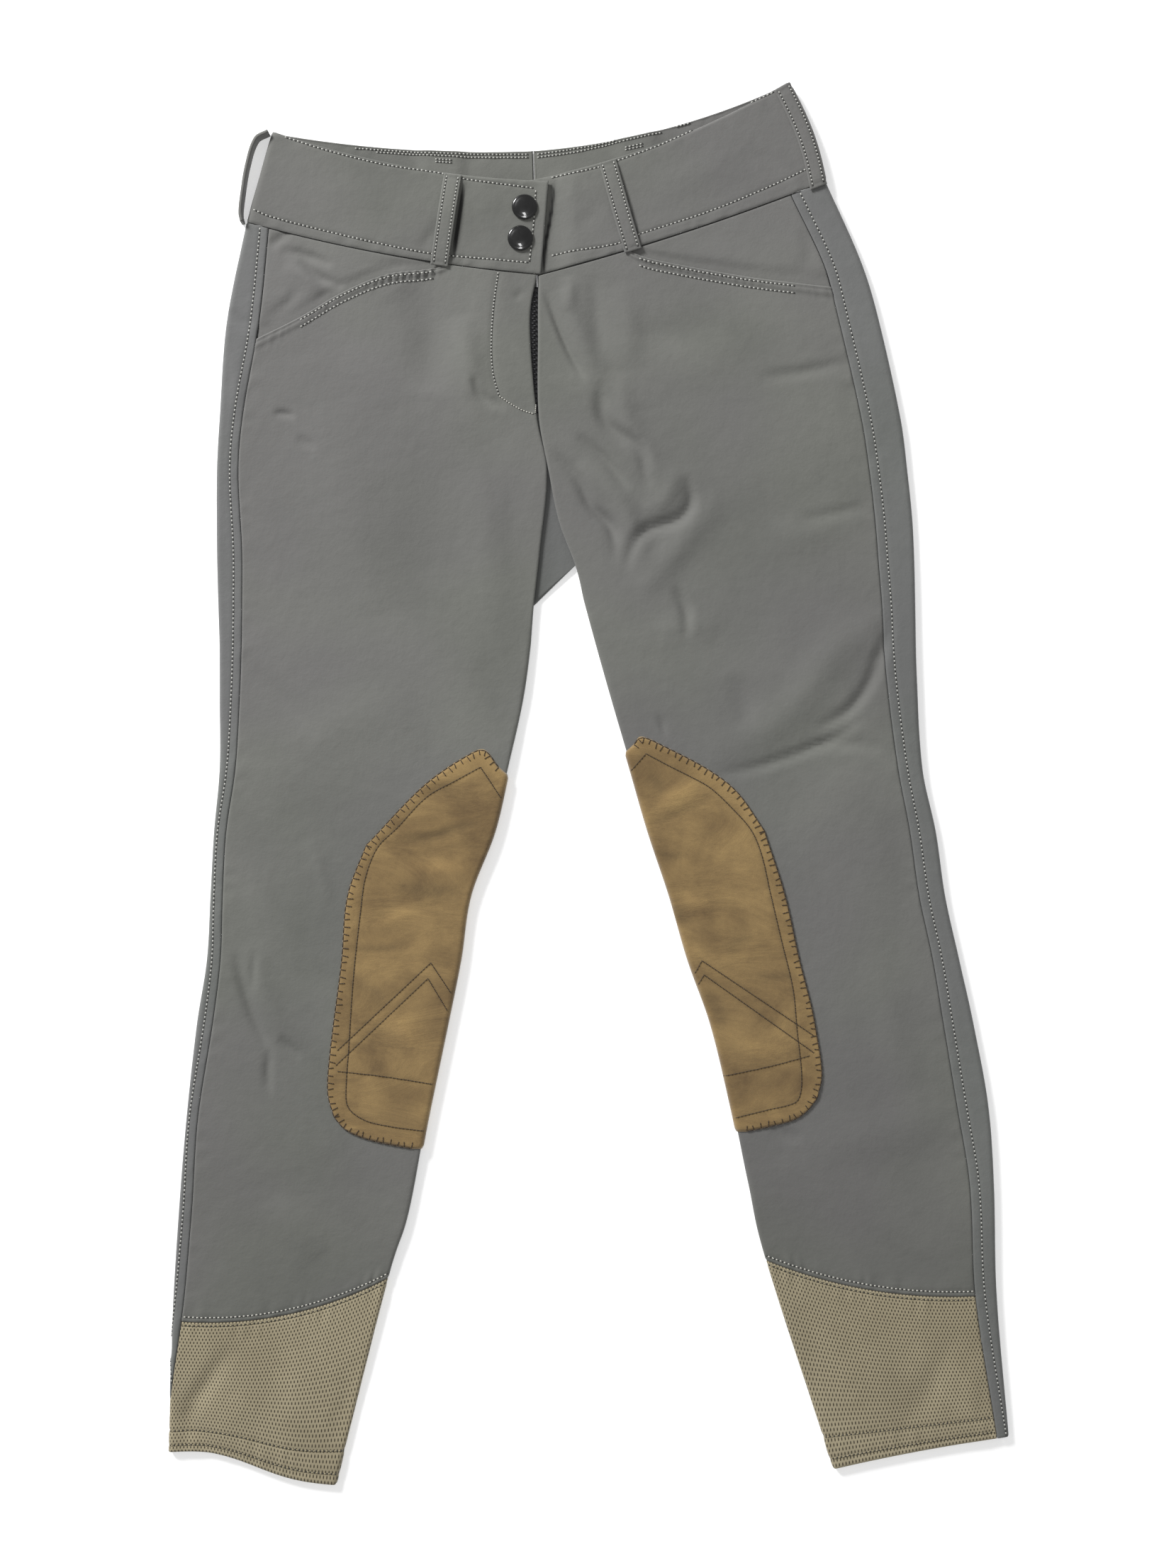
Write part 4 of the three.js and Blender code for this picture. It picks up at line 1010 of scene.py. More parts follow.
@dataclass(frozen=True)
class SuedeFinish:
    """Suede with a soft nap, rubbed darker in places."""

    name: str
    dark: Color
    light: Color

    def build(self, groups: Groups) -> bpy.types.Material:
        """Makes the material."""
        material, graph, shader = new_material(self.name)
        crumple = graph.add("ShaderNodeGroup", {}, node_tree=groups.crumple)
        crumple.inputs["Large"].default_value = 22.0
        crumple.inputs["Small"].default_value = 420.0
        place = graph.add("ShaderNodeTexCoord").outputs["Object"]
        wide = graph.add("ShaderNodeMapping", {"Vector": place, "Scale": (14.0, 30.0, 14.0)}).outputs[0]
        rubs = graph.add("ShaderNodeTexNoise", {"Vector": wide, "Scale": 1.0, "Detail": 8.0,
                                                "Roughness": 0.68, "Distortion": 0.8}).outputs["Fac"]
        fibre = graph.add("ShaderNodeTexNoise", {"Vector": place, "Scale": 1700.0, "Detail": 3.0,
                                                 "Roughness": 0.7}).outputs["Fac"]
        mask = graph.math("ADD", graph.math("MULTIPLY", rubs, 0.9),
                          graph.math("MULTIPLY", crumple.outputs["Tone"], 0.35))
        tone = graph.blend(graph.span(mask, 0.42, 0.85, 0.0, 1.0), self.dark, self.light)
        nap = graph.span(fibre, 0.3, 0.7, 0.86, 1.12)
        gray = graph.add("ShaderNodeCombineColor", {0: nap, 1: nap, 2: nap}).outputs[0]
        links = material.node_tree.links
        napped = graph.blend(1.0, tone, gray, "MULTIPLY")
        links.new(shaded(graph, groups, napped), shader.inputs["Base Color"])
        soft = graph.add("ShaderNodeBump", {"Height": rubs, "Strength": 0.35, "Distance": 0.004})
        fine = graph.add("ShaderNodeBump", {"Height": fibre, "Strength": 0.5, "Distance": 0.00025,
                                            "Normal": soft.outputs[0]})
        links.new(fine.outputs[0], shader.inputs["Normal"])
        shader.inputs["Roughness"].default_value = 0.95
        shader.inputs["Sheen Weight"].default_value = 0.35
        shader.inputs["Sheen Roughness"].default_value = 0.6
        shader.inputs["Specular IOR Level"].default_value = 0.2
        return material


@dataclass(frozen=True)
class KnitFinish:
    """Stretch mesh knit with rows of small holes, dark with painted shade, on the piece's own UV map."""

    name: str
    dark: Color
    light: Color
    hole: Color
    across: float = 0.0024
    down: float = 0.0047

    def build(self, groups: Groups) -> bpy.types.Material:
        """Makes the material."""
        material, graph, shader = new_material(self.name)
        crumple = graph.add("ShaderNodeGroup", {}, node_tree=groups.crumple)
        place = graph.add("ShaderNodeUVMap", uv_map="UVMap").outputs["UV"]
        parts = graph.add("ShaderNodeSeparateXYZ", {"Vector": place})
        waves = []
        for axis, pitch in (("X", self.across), ("Y", self.down)):
            turn = graph.math("MULTIPLY", parts.outputs[axis], 2.0 * math.pi / pitch)
            waves.append(graph.math("SINE", turn))
        lattice = graph.math("MULTIPLY", waves[0], waves[1])
        hole = graph.span(lattice, 0.25, 0.75, 0.0, 1.0)
        tone = graph.blend(crumple.outputs["Tone"], self.dark, self.light)
        # The holes are real openings; their dark colour is painted shade
        color = graph.blend(hole, tone, self.hole)
        links = material.node_tree.links
        links.new(shaded(graph, groups, color), shader.inputs["Base Color"])
        soft = graph.add("ShaderNodeBump", {"Height": crumple.outputs["Height"], "Strength": 0.4,
                                            "Distance": 0.003})
        fine = graph.add("ShaderNodeBump", {"Height": graph.math("SUBTRACT", 1.0, hole), "Strength": 0.7,
                                            "Distance": 0.0004, "Normal": soft.outputs[0]})
        links.new(fine.outputs[0], shader.inputs["Normal"])
        shader.inputs["Roughness"].default_value = 0.85
        shader.inputs["Sheen Weight"].default_value = 0.2
        shader.inputs["Specular IOR Level"].default_value = 0.3
        return material


@dataclass(frozen=True)
class ThreadFinish:
    """Sewing thread with a slight twist of tone."""

    name: str
    dark: Color
    light: Color

    def build(self, groups: Groups) -> bpy.types.Material:
        """Makes the material."""
        material, graph, shader = new_material(self.name)
        place = graph.add("ShaderNodeTexCoord").outputs["Object"]
        twist = graph.add("ShaderNodeTexNoise", {"Vector": place, "Scale": 900.0, "Detail": 2.0}).outputs["Fac"]
        links = material.node_tree.links
        links.new(graph.blend(twist, self.dark, self.light), shader.inputs["Base Color"])
        bump = graph.add("ShaderNodeBump", {"Height": twist, "Strength": 0.4, "Distance": 0.0001})
        links.new(bump.outputs[0], shader.inputs["Normal"])
        shader.inputs["Roughness"].default_value = 0.6
        return material


@dataclass(frozen=True)
class MetalFinish:
    """Dark plated metal, polished, with faint handling marks."""

    name: str
    color: Color
    roughness: tuple[float, float]

    def build(self, groups: Groups) -> bpy.types.Material:
        """Makes the material."""
        material, graph, shader = new_material(self.name)
        crumple = graph.add("ShaderNodeGroup", {}, node_tree=groups.crumple)
        crumple.inputs["Large"].default_value = 180.0
        crumple.inputs["Small"].default_value = 2500.0
        links = material.node_tree.links
        shine = graph.span(crumple.outputs["Tone"], 0.0, 1.0, *self.roughness)
        links.new(shine, shader.inputs["Roughness"])
        toned = tuple(1.6 * value for value in self.color[:3]) + (1.0,)
        links.new(graph.blend(crumple.outputs["Tone"], self.color, toned), shader.inputs["Base Color"])
        shader.inputs["Metallic"].default_value = 0.75
        shader.inputs["Coat Weight"].default_value = 1.0
        shader.inputs["Coat Roughness"].default_value = 0.07
        return material


@dataclass(frozen=True)
class FloorFinish:
    """A plain pale floor, lit from below a little so that the shadows stay faint."""

    name: str
    color: Color
    glow: float = 0.3

    def build(self, groups: Groups) -> bpy.types.Material:
        """Makes the material."""
        material, graph, shader = new_material(self.name)
        place = graph.add("ShaderNodeTexCoord").outputs["Object"]
        cloud = graph.add("ShaderNodeTexNoise", {"Vector": place, "Scale": 1.5, "Detail": 2.0}).outputs["Fac"]
        shade = tuple(0.985 * value for value in self.color[:3]) + (1.0,)
        material.node_tree.links.new(graph.blend(cloud, shade, self.color), shader.inputs["Base Color"])
        shader.inputs["Roughness"].default_value = 0.9
        shader.inputs["Emission Color"].default_value = (1.0, 1.0, 1.0, 1.0)
        shader.inputs["Emission Strength"].default_value = self.glow
        return material


class Finish(Enum):
    """The finishes of the pieces."""

    CLOTH = ClothFinish("grey stretch cloth", (0.113, 0.116, 0.104, 1.0), (0.155, 0.157, 0.142, 1.0),
                        (0.132, 0.128, 0.127, 1.0))
    # The back panels' cloth is a bluer copy of the front's: painted sheen standing for the nap catching the light at
    # another angle
    SIDE = ClothFinish("grey side cloth", (0.111, 0.116, 0.109, 1.0), (0.149, 0.154, 0.147, 1.0),
                       (0.127, 0.126, 0.128, 1.0))
    SUEDE = SuedeFinish("tan suede", (0.120, 0.073, 0.026, 1.0), (0.276, 0.182, 0.069, 1.0))
    # The knit's third colour is the painted shade in its holes
    KNIT = KnitFinish("olive mesh knit", (0.262, 0.225, 0.147, 1.0), (0.345, 0.300, 0.200, 1.0),
                      (0.044, 0.036, 0.020, 1.0))
    THREAD = ThreadFinish("grey thread", (0.33, 0.33, 0.31, 1.0), (0.54, 0.54, 0.50, 1.0))
    PALE = ThreadFinish("pale thread", (0.36, 0.35, 0.31, 1.0), (0.60, 0.59, 0.54, 1.0))
    OLIVE = ThreadFinish("olive thread", (0.22, 0.19, 0.12, 1.0), (0.34, 0.30, 0.20, 1.0))
    BROWN = ThreadFinish("dark brown thread", (0.024, 0.014, 0.008, 1.0), (0.050, 0.030, 0.016, 1.0))
    # Near black: painted shade where the thread dips into the cloth between stitches
    HOLE_SHADE = ThreadFinish("needle hole", (0.016, 0.016, 0.015, 1.0), (0.030, 0.030, 0.028, 1.0))
    METAL = MetalFinish("black plated metal", (0.011, 0.011, 0.011, 1.0), (0.20, 0.30))
    # A real zip, so near black that its colour also paints the shade in the fly's opening
    ZIP = ThreadFinish("black zip tape and fly shade", (0.004, 0.004, 0.005, 1.0), (0.010, 0.010, 0.012, 1.0))
    FLOOR = FloorFinish("pale floor", (0.93, 0.93, 0.93, 1.0))


@dataclass
class Wardrobe:
    """Makes each finish once and puts pieces into the scene."""

    groups: Groups = field(default_factory=Groups)
    made: dict[Finish, bpy.types.Material] = field(default_factory=dict)
    trees: dict[str, BVHTree] = field(default_factory=dict)

    def material(self, finish: Finish) -> bpy.types.Material:
        """The material of a finish."""
        if finish not in self.made:
            self.made[finish] = finish.value.build(self.groups)
        return self.made[finish]

    def piece(self, name: str, bm: bmesh.types.BMesh, finish: Finish, slot: str, nodes: Sequence[str] = (),
              thick: float = 0.0, offset: float = -1.0, second: Finish | None = None) -> bpy.types.Object:
        """Turns a finished bmesh into a dressed piece on the body.

        Args:
            name: The piece's name.
            bm: Its mesh, which is freed.
            finish: Its finish.
            slot: The record's material slot; not used.
            nodes: The CAD nodes that it stands for.
            thick: Thickness that a Solidify modifier adds, in millimetres.
            offset: Where that thickness goes: -1 behind the faces, 0 on both sides.
            second: Finish of the faces with the second material.

        Returns:
            The object.
        """
        for item in bm.faces:
            item.smooth = True
        if thick > 0.0:
            self.trees[name] = BVHTree.FromBMesh(bm)
        mesh = bpy.data.meshes.new(name)
        bm.to_mesh(mesh)
        bm.free()
        made = bpy.data.objects.new(name, mesh)
        bpy.context.scene.collection.objects.link(made)
        made.data.materials.append(self.material(finish))
        if second is not None:
            made.data.materials.append(self.material(second))
        if thick > 0.0:
            wall = made.modifiers.new("wall", "SOLIDIFY")
            wall.thickness = thick * MM
            wall.offset = offset
            wall.use_rim = True
        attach(made, BODY)
        if nodes:
            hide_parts(*nodes)
        LOG.info("%s: %d faces", name, len(mesh.polygons))
        return made


Placer = Callable[[Array, Array], tuple[Array, Array, Array]]


def sheet_mesh(columns: int, rows: int, place: Placer, keep: Callable[[float, float], bool] | None = None,
               middle: float = HOLLOW_MIDDLE) -> bmesh.types.BMesh:
    """Makes a sheet of cloth from a grid.

    Args:
        columns: Steps across.
        rows: Steps down.
        place: Gives each point's place in millimetres, its pattern place in metres and its painted
        shade, from -1 for pale to 1 for dark, by column and row.
        keep: Says which faces are cloth, by the column and row of their middle.
        middle: Height of the hollow inside, which the faces turn away from.

    Returns:
        The mesh, in metres.
    """
    bm = bmesh.new()
    bmesh.ops.create_grid(bm, x_segments=columns, y_segments=rows, size=1.0)
    flat = np.array([vert.co for vert in bm.verts], float)
    i = np.rint((flat[:, 0] + 1.0) / 2.0 * columns)
    j = np.rint((1.0 - flat[:, 1]) / 2.0 * rows)
    if keep is not None:
        gone = []
        for item in bm.faces:
            centre = item.calc_center_median()
            if not keep((centre.x + 1.0) / 2.0 * columns, (1.0 - centre.y) / 2.0 * rows):
                gone.append(item)
    points, pattern, painted_shade = place(i, j)
    # The painted shade goes into its own UV map, from 0 for pale to 1 for dark
    shade = np.clip(0.5 + 0.5 * painted_shade, 0.0, 1.0)
    layer = bm.loops.layers.uv.new("UVMap")
    toned = bm.loops.layers.uv.new("Wear")
    bm.verts.index_update()
    for item in bm.faces:
        for loop in item.loops:
            loop[layer].uv = pattern[loop.vert.index]
            loop[toned].uv = (shade[loop.vert.index], 0.5)
    for vert, point in zip(bm.verts, points * MM):
        vert.co = point
    if keep is not None:
        bmesh.ops.delete(bm, geom=gone, context="FACES")
    bm.normal_update()
    turned = sum(item.normal.z * (item.calc_center_median().z - middle * MM) for item in bm.faces)
    if turned < 0:
        bmesh.ops.reverse_faces(bm, faces=bm.faces[:])
    bm.normal_update()
    return bm


@dataclass
class Stitching:
    """Rows of stitches, each a small rounded thread between two needle holes, which are painted shade.

    Attributes:
        name: Name of the piece that the rows are joined in.
        finish: The thread.
        slot: The record's material slot.
        width: Width of the thread.
        above: How far the threads stand above the cloth.
    """

    name: str
    finish: Finish
    slot: str
    width: float = 1.2
    above: float = 0.18
    part: bmesh.types.BMesh = field(default_factory=bmesh.new)
    parts: list[bpy.types.Mesh] = field(default_factory=list)

    def thread(self, start: Vector, end: Vector, normal: Vector, width: float, hole: bool = False) -> None:
        """Adds one thread, or a needle hole painted near black as shade.

        Args:
            start: One end.
            end: The other end.
            normal: The cloth's normal there.
            width: Its width.
            hole: Whether it is a needle hole, a near-black dash of painted shade.
        """
        along = end - start
        length = along.length
        if length < 1e-6:
            return
        along.normalize()
        side = normal.cross(along).normalized()
        up = along.cross(side)
        turn = Matrix((along, side, up)).transposed().to_4x4()
        size = Matrix.Diagonal((length / 2, width / 2 * MM, width * 0.42 * MM, 1.0))
        matrix = Matrix.Translation((start + end) / 2) @ turn @ size
        made = bmesh.ops.create_uvsphere(self.part, u_segments=4 if hole else 6, v_segments=3, radius=1.0,
                                         matrix=matrix)
        if hole:
            for item in {item for vert in made["verts"] for item in vert.link_faces}:
                item.material_index = 1
        if len(self.part.verts) > CHUNK:
            self.store()

    def store(self) -> None:
        """Sets the threads made so far aside, since a small mesh takes new ones quickly."""
        mesh = bpy.data.meshes.new("threads")
        self.part.to_mesh(mesh)
        self.part.free()
        self.part = bmesh.new()
        self.parts.append(mesh)

    def hit(self, tree: BVHTree, x: float, y: float, face: Face) -> tuple[Vector, Vector] | None:
        """The place on a piece above or below a point of the plan, and the normal there."""
        start = Vector((x * MM, y * MM, 0.05 * face.value))
        place, normal, _, _ = tree.ray_cast(start, Vector((0, 0, -face.value)), 0.1)
        if place is None:
            return None
        if normal.z * face.value < 0:
            normal.negate()
        return place, normal

    def row(self, tree: BVHTree, path: Path | Array, pitch: float = 3.0, fill: float = 0.62,
            face: Face = Face.FRONT, raised: float = 0.0) -> None:
        """Sews a straight row along a path.

        Args:
            tree: The piece that it is sewn on.
            path: Points of the row.
            pitch: Length of one stitch and its space.
            fill: Part of the pitch that is thread.
            face: The face that it is on.
            raised: How far above the piece's outer face the row lies.
        """
        line = curve_through(path, pitch)
        for start, end in zip(line[:-1], line[1:]):
            stop = start + (end - start) * fill
            found = [self.hit(tree, *at, face) for at in (start, stop, end)]
            if None in found or (found[0][0] - found[2][0]).length > 2.0 * pitch * MM:
                continue
            normal = (found[0][1] + found[1][1]).normalized()
            first, last, next_one = (place + normal * (raised + self.above) * MM for place, _ in found)
            if face is Face.BACK:
                for end_point in (first, last, next_one):
                    end_point.z = max(end_point.z, 0.0)
            self.thread(first, last, normal, self.width)
            # A near-black dash in the gap to the next stitch: painted shade where the thread dips into the cloth
            low = normal * (self.above + 0.1) * MM
            lean = (next_one - last) * 0.1
            self.thread(last - low - lean, next_one - low + lean, normal, self.width * 1.5, True)

    def blanket(self, tree: BVHTree, path: Path | Array, inward: Array, pitch: float = 5.0,
                length: float = 4.4, face: Face = Face.FRONT) -> None:
        """Sews a blanket stitch over an edge.

        Args:
            tree: The piece that it is sewn on.
            path: Points of the edge.
            inward: A point inside the piece, which the legs of the stitch turn to.
            pitch: Distance between the legs.
            length: Length of the legs.
            face: The face that it is on.
        """
        line = curve_through(path, pitch)
        way = np.gradient(line, axis=0)
        way /= np.linalg.norm(way, axis=1)[:, None]
        normal = np.column_stack([-way[:, 1], way[:, 0]])
        toward = np.sign(((inward - line) * normal).sum(1))
        normal *= toward[:, None]
        last = None
        for k, (edge, into) in enumerate(zip(line, normal)):
            lean = 0.9 * math.sin(k * 2.1) * way[k]
            reach = length * (1.0 + 0.14 * math.sin(k * 1.7))
            steps = [self.hit(tree, *(edge + mix(0.45, reach, part) * into + part * lean), face)
                     for part in (0.0, 0.12, 0.3, 0.6, 1.0)]
            if None in steps:
                last = None
                continue
            leg = [place + turned * (self.above * MM) for place, turned in steps]
            for first, second, step in zip(leg[:-1], leg[1:], steps):
                over = (second - first) * 0.15
                self.thread(first - over, second + over, step[1], self.width)
            if last is not None and (last - leg[0]).length < 2.0 * pitch * MM:
                self.thread(last, leg[0], steps[0][1], self.width)
            last = leg[0]

    def finish_rows(self, wardrobe: Wardrobe) -> bpy.types.Object:
        """Makes the piece."""
        self.store()
        bm = bmesh.new()
        for mesh in self.parts:
            bm.from_mesh(mesh)
            bpy.data.meshes.remove(mesh)
        return wardrobe.piece(self.name, bm, self.finish, self.slot, second=Finish.HOLE_SHADE)


@dataclass(frozen=True)
class Cut:
    """The flat size of a piece before it was sewn, in metres and square metres."""

    width: float
    length: float
    area: float

    def declare(self, piece: bpy.types.Object, rests_on: Sequence[str]) -> None:
        """Takes a piece and what it rests on, and does nothing with them."""


@dataclass
class Panels:
    """The front, back and pocket facing of one half."""

    half: Half
    front_cut: Cut
    back_cut: Cut
    facing_cut: Cut
    inset: float
    edge: tuple[float, ...] = (0.0, 0.4, 0.9, 1.5, 2.4, 3.6, 5.2, 7.2)
    across: int = 124
    upper: int = 46
    lower: int = 205
    blend_below: float = 148.0

    def front_run(self, steps: Stations, index: Array, level: Array) -> Array:
        """The run of a column of the front at a level."""
        start = self.half.seam(level) + SEWN_GAP / 2
        open_edge = self.half.leg.section(level)["curl"] < 1
        end = self.half.leg.end(level, True) - np.where(open_edge, SEAM_GAP / 2, 0.0)
        return steps.at(index, start, end)

    def front(self, wardrobe: Wardrobe) -> bpy.types.Object:
        """Makes the front panel."""
        half = self.half
        across = Stations(self.edge, self.across, self.edge[::-1])
        columns = across.steps
        all_columns = np.arange(columns + 1, dtype=float)
        tops = half.mouth_level(lambda level: self.front_run(across, all_columns, level), columns + 1)
        blend = half.waist - self.blend_below
        bottom = half.cuff_level + SEWN_GAP / 2
        high = Stations(self.edge + (9.5,), self.upper, (0.0,))
        low = Stations((0.0,), self.lower, self.edge[::-1])

        def place(i: Array, j: Array) -> tuple[Array, Array, Array]:
            """Places the grid's points on the leg."""
            top = tops[i.astype(int)]
            level = np.where(j <= high.steps, high.at(j, top, np.full_like(j, blend)),
                             low.at(j - high.steps, np.full_like(j, blend), np.full_like(j, bottom)))
            run = self.front_run(across, i, level)
            to_seam = run - self.front_run(across, np.zeros_like(i), level)
            to_edge = self.front_run(across, np.full_like(i, columns), level) - run
            to_top = top - level
            mouth = smooth(0.2, 1.5, half.waist - top)
            depth = rolled(to_seam, 0.7, 1.3) + rolled(to_edge) + rolled(level - bottom)
            depth += rolled(to_top, 0.3, 1.2) + mouth * rolled(to_top, 0.5, 1.6)
            depth += mouth * (gathers(run, to_top, 14.0, 6.0, 0.3) - 0.75 * (1.0 - smooth(7.2, 9.4, to_top)))
            left, right, pitch, height = PUCKER[half.side]
            plan = half.leg.point(level, run, depth)[:, 0]
            here = smooth(left - 4, left + 4, plan) * (1.0 - smooth(right - 4, right + 4, plan))
            pleat = np.sin(2.0 * math.pi * plan / pitch + 0.8 * np.sin(plan / 7.0))
            depth += mouth * here * height * pleat * (1.0 - smooth(7.0, 14.0, to_top))
            sewn = mouth * (groove(to_top, 2.4, 0.45) + groove(to_top, 7.2, 0.45)) + groove(level - bottom, 3.5, 0.4)
            depth += sewn + gathers(level, to_seam, 12.0, 17.0, 0.3)
            depth += gathers(run, level - bottom, 14.0, 13.0, 0.4)
            # Painted shade: darker along the stitch grooves of the mouth and hem and down the lower leg, where the
            # light falls off; paler right at the mouth's edge
            painted_shade = 0.5 * sewn - 0.25 * mouth * (1.0 - smooth(0.0, 2.0, to_top))
            painted_shade += 0.13 * (1.0 - smooth(-330.0, -120.0, level))
            return half.leg.point(level, run, depth), np.stack([run, level], -1) * MM, painted_shade

        bm = sheet_mesh(columns, high.steps + low.steps, place)
        name = f"front_{half.side.value}"
        made = wardrobe.piece(f"{name}_cloth", bm, Finish.CLOTH, "stretch_woven", [name], CLOTH)
        self.front_cut.declare(made, [f"back_{half.side.value}_cloth"])
        return made

    def back(self, wardrobe: Wardrobe) -> bpy.types.Object:
        """Makes the back panel, which comes round the outer fold to the outseam."""
        half = self.half
        strip = Stations(self.edge[:6] + (self.inset - 0.9, self.inset, self.inset + 0.9), 22, (0.0,))
        body = Stations((0.0,), 44, (7.0, 5.5, 4.0, 2.6, 1.2, 0.0))
        down = Stations(self.edge[:6], 170, self.edge[:6][::-1])
        cuff = Stations(self.edge[:6], 22, self.edge[:6][::-1])
        bottom = half.cuff_level + SEWN_GAP / 2

        def place(i: Array, j: Array) -> tuple[Array, Array, Array]:
            """Places the grid's points on the leg."""
            waist = np.full_like(j, half.waist)
            level = np.where(j <= down.steps, down.at(j, waist, np.full_like(j, bottom)),
                             cuff.at(j - down.steps, np.full_like(j, bottom), np.full_like(j, half.hem_level)))
            seam = half.seam(level) - SEWN_GAP / 2
            open_edge = half.leg.section(level)["curl"] < 1
            end = -half.leg.end(level, False) + np.where(open_edge, SEAM_GAP / 2, 0.0)
            behind = np.full_like(level, -STRIP_BEHIND)
            run = np.where(i <= strip.steps, strip.at(i, seam, behind), body.at(i - strip.steps, behind, end))
            to_seam = seam - run
            depth = rolled(to_seam, 0.7, 1.3) + rolled(half.waist - level, 0.3) + rolled(run - end, 0.5)
            depth += np.where(run < -STRIP_BEHIND, rolled(np.abs(level - bottom)), 0.0)
            sewn = groove(to_seam, self.inset, 0.45)
            depth += rolled(level - half.hem_level) + sewn
            depth += gathers(level, to_seam, 9.0, 19.0, 0.3)
            # The returned shade is painted: darker along the outseam row's groove
            return half.leg.point(level, run, depth), np.stack([run, level], -1) * MM, 0.5 * sewn

        bm = sheet_mesh(strip.steps + body.steps, down.steps + cuff.steps, place,
                        lambda i, j: j < down.steps or i < strip.steps)
        name = f"back_{half.side.value}"
        if half.side is Side.LEFT:
            self.add_crotch(bm)
        made = wardrobe.piece(f"{name}_cloth", bm, Finish.SIDE, "stretch_woven", [name], CLOTH)
        self.back_cut.declare(made, ["floor"])
        return made

    def add_crotch(self, bm: bmesh.types.BMesh) -> None:
        """Adds the fold of the left back that shows in the fork.

        Args:
            bm: The back's mesh.
        """
        near = Rows("part x y", [[0, -34.6, 224], [0.42, -36.0, 173], [1, -40.2, 124.2]], "part")
        far = Rows("part x y", [[0, -22.0, 222], [0.16, -15.0, 204], [0.8, -4.5, 160.5], [1, -8.0, 155.6]], "part")
        columns = 24
        rows = 60

        def place(i: Array, j: Array) -> tuple[Array, Array, Array]:
            """Places the fold's points between its two long edges."""
            u = i / columns
            v = j / rows
            x = mix(near.at("x", v), far.at("x", v), u)
            y = mix(near.at("y", v), far.at("y", v), u)
            rim = np.minimum(np.minimum(u, 1.0 - u) * 24.0, (1.0 - v) * 60.0)
            z = 2.3 - 1.2 * np.clip(1.0 - rim / 2.4, 0.0, 1.0) ** 2
            # Painted shade over the fold in the fork between the legs, darkest by its near edge
            return np.stack([x, y, z], -1), np.stack([x, y], -1) * MM, 0.55 - 0.3 * smooth(0.0, 0.6, u)

        fold = sheet_mesh(columns, rows, place, middle=0.0)
        mesh = bpy.data.meshes.new("fold")
        fold.to_mesh(mesh)
        fold.free()
        bm.from_mesh(mesh)
        bpy.data.meshes.remove(mesh)

    def facing(self, wardrobe: Wardrobe, creases: Sequence[Crease]) -> bpy.types.Object:
        """Makes the pocket facing, which shows above the pocket mouth.

        Args:
            wardrobe: Where the piece goes.
            creases: Its folds.

        Returns:
            The piece.
        """
        half = self.half
        across = Stations(self.edge[:4], 70, (0.0,))
        down = Stations(self.edge[:5], 34, (0.0,))
        inner = half.leg.end(np.array(half.waist), True) * 0.735

        def run_for(index: Array, level: Array) -> Array:
            """The run of a column."""
            return across.at(index, half.seam(level) + SEAM_GAP, np.full_like(level, inner))

        all_columns = np.arange(across.steps + 1, dtype=float)
        mouths = half.mouth_level(lambda level: run_for(all_columns, level), across.steps + 1)

        def place(i: Array, j: Array) -> tuple[Array, Array, Array]:
            """Places the grid's points behind the front."""
            level = down.at(j, np.full_like(j, half.waist), mouths[i.astype(int)] - 12.0)
            run = run_for(i, level)
            to_seam = run - run_for(np.zeros_like(i), level)
            above = level - mouths[i.astype(int)]
            depth = 1.3 - 1.1 * smooth(5.0, 16.0, above) + rolled(half.waist - level, 0.3) + rolled(to_seam, 0.4)
            points = half.leg.point(level, run, depth)
            points[:, 2] += creased(creases, points[:, 0], points[:, 1])
            return points, np.stack([run, level], -1) * MM, np.zeros_like(run)

        bm = sheet_mesh(across.steps, down.steps, place)
        name = f"pocket_facing_{half.side.value}"
        made = wardrobe.piece(f"{name}_cloth", bm, Finish.CLOTH, "stretch_woven", [name], FACING)
        self.facing_cut.declare(made, [f"front_{half.side.value}_cloth"])
        return made


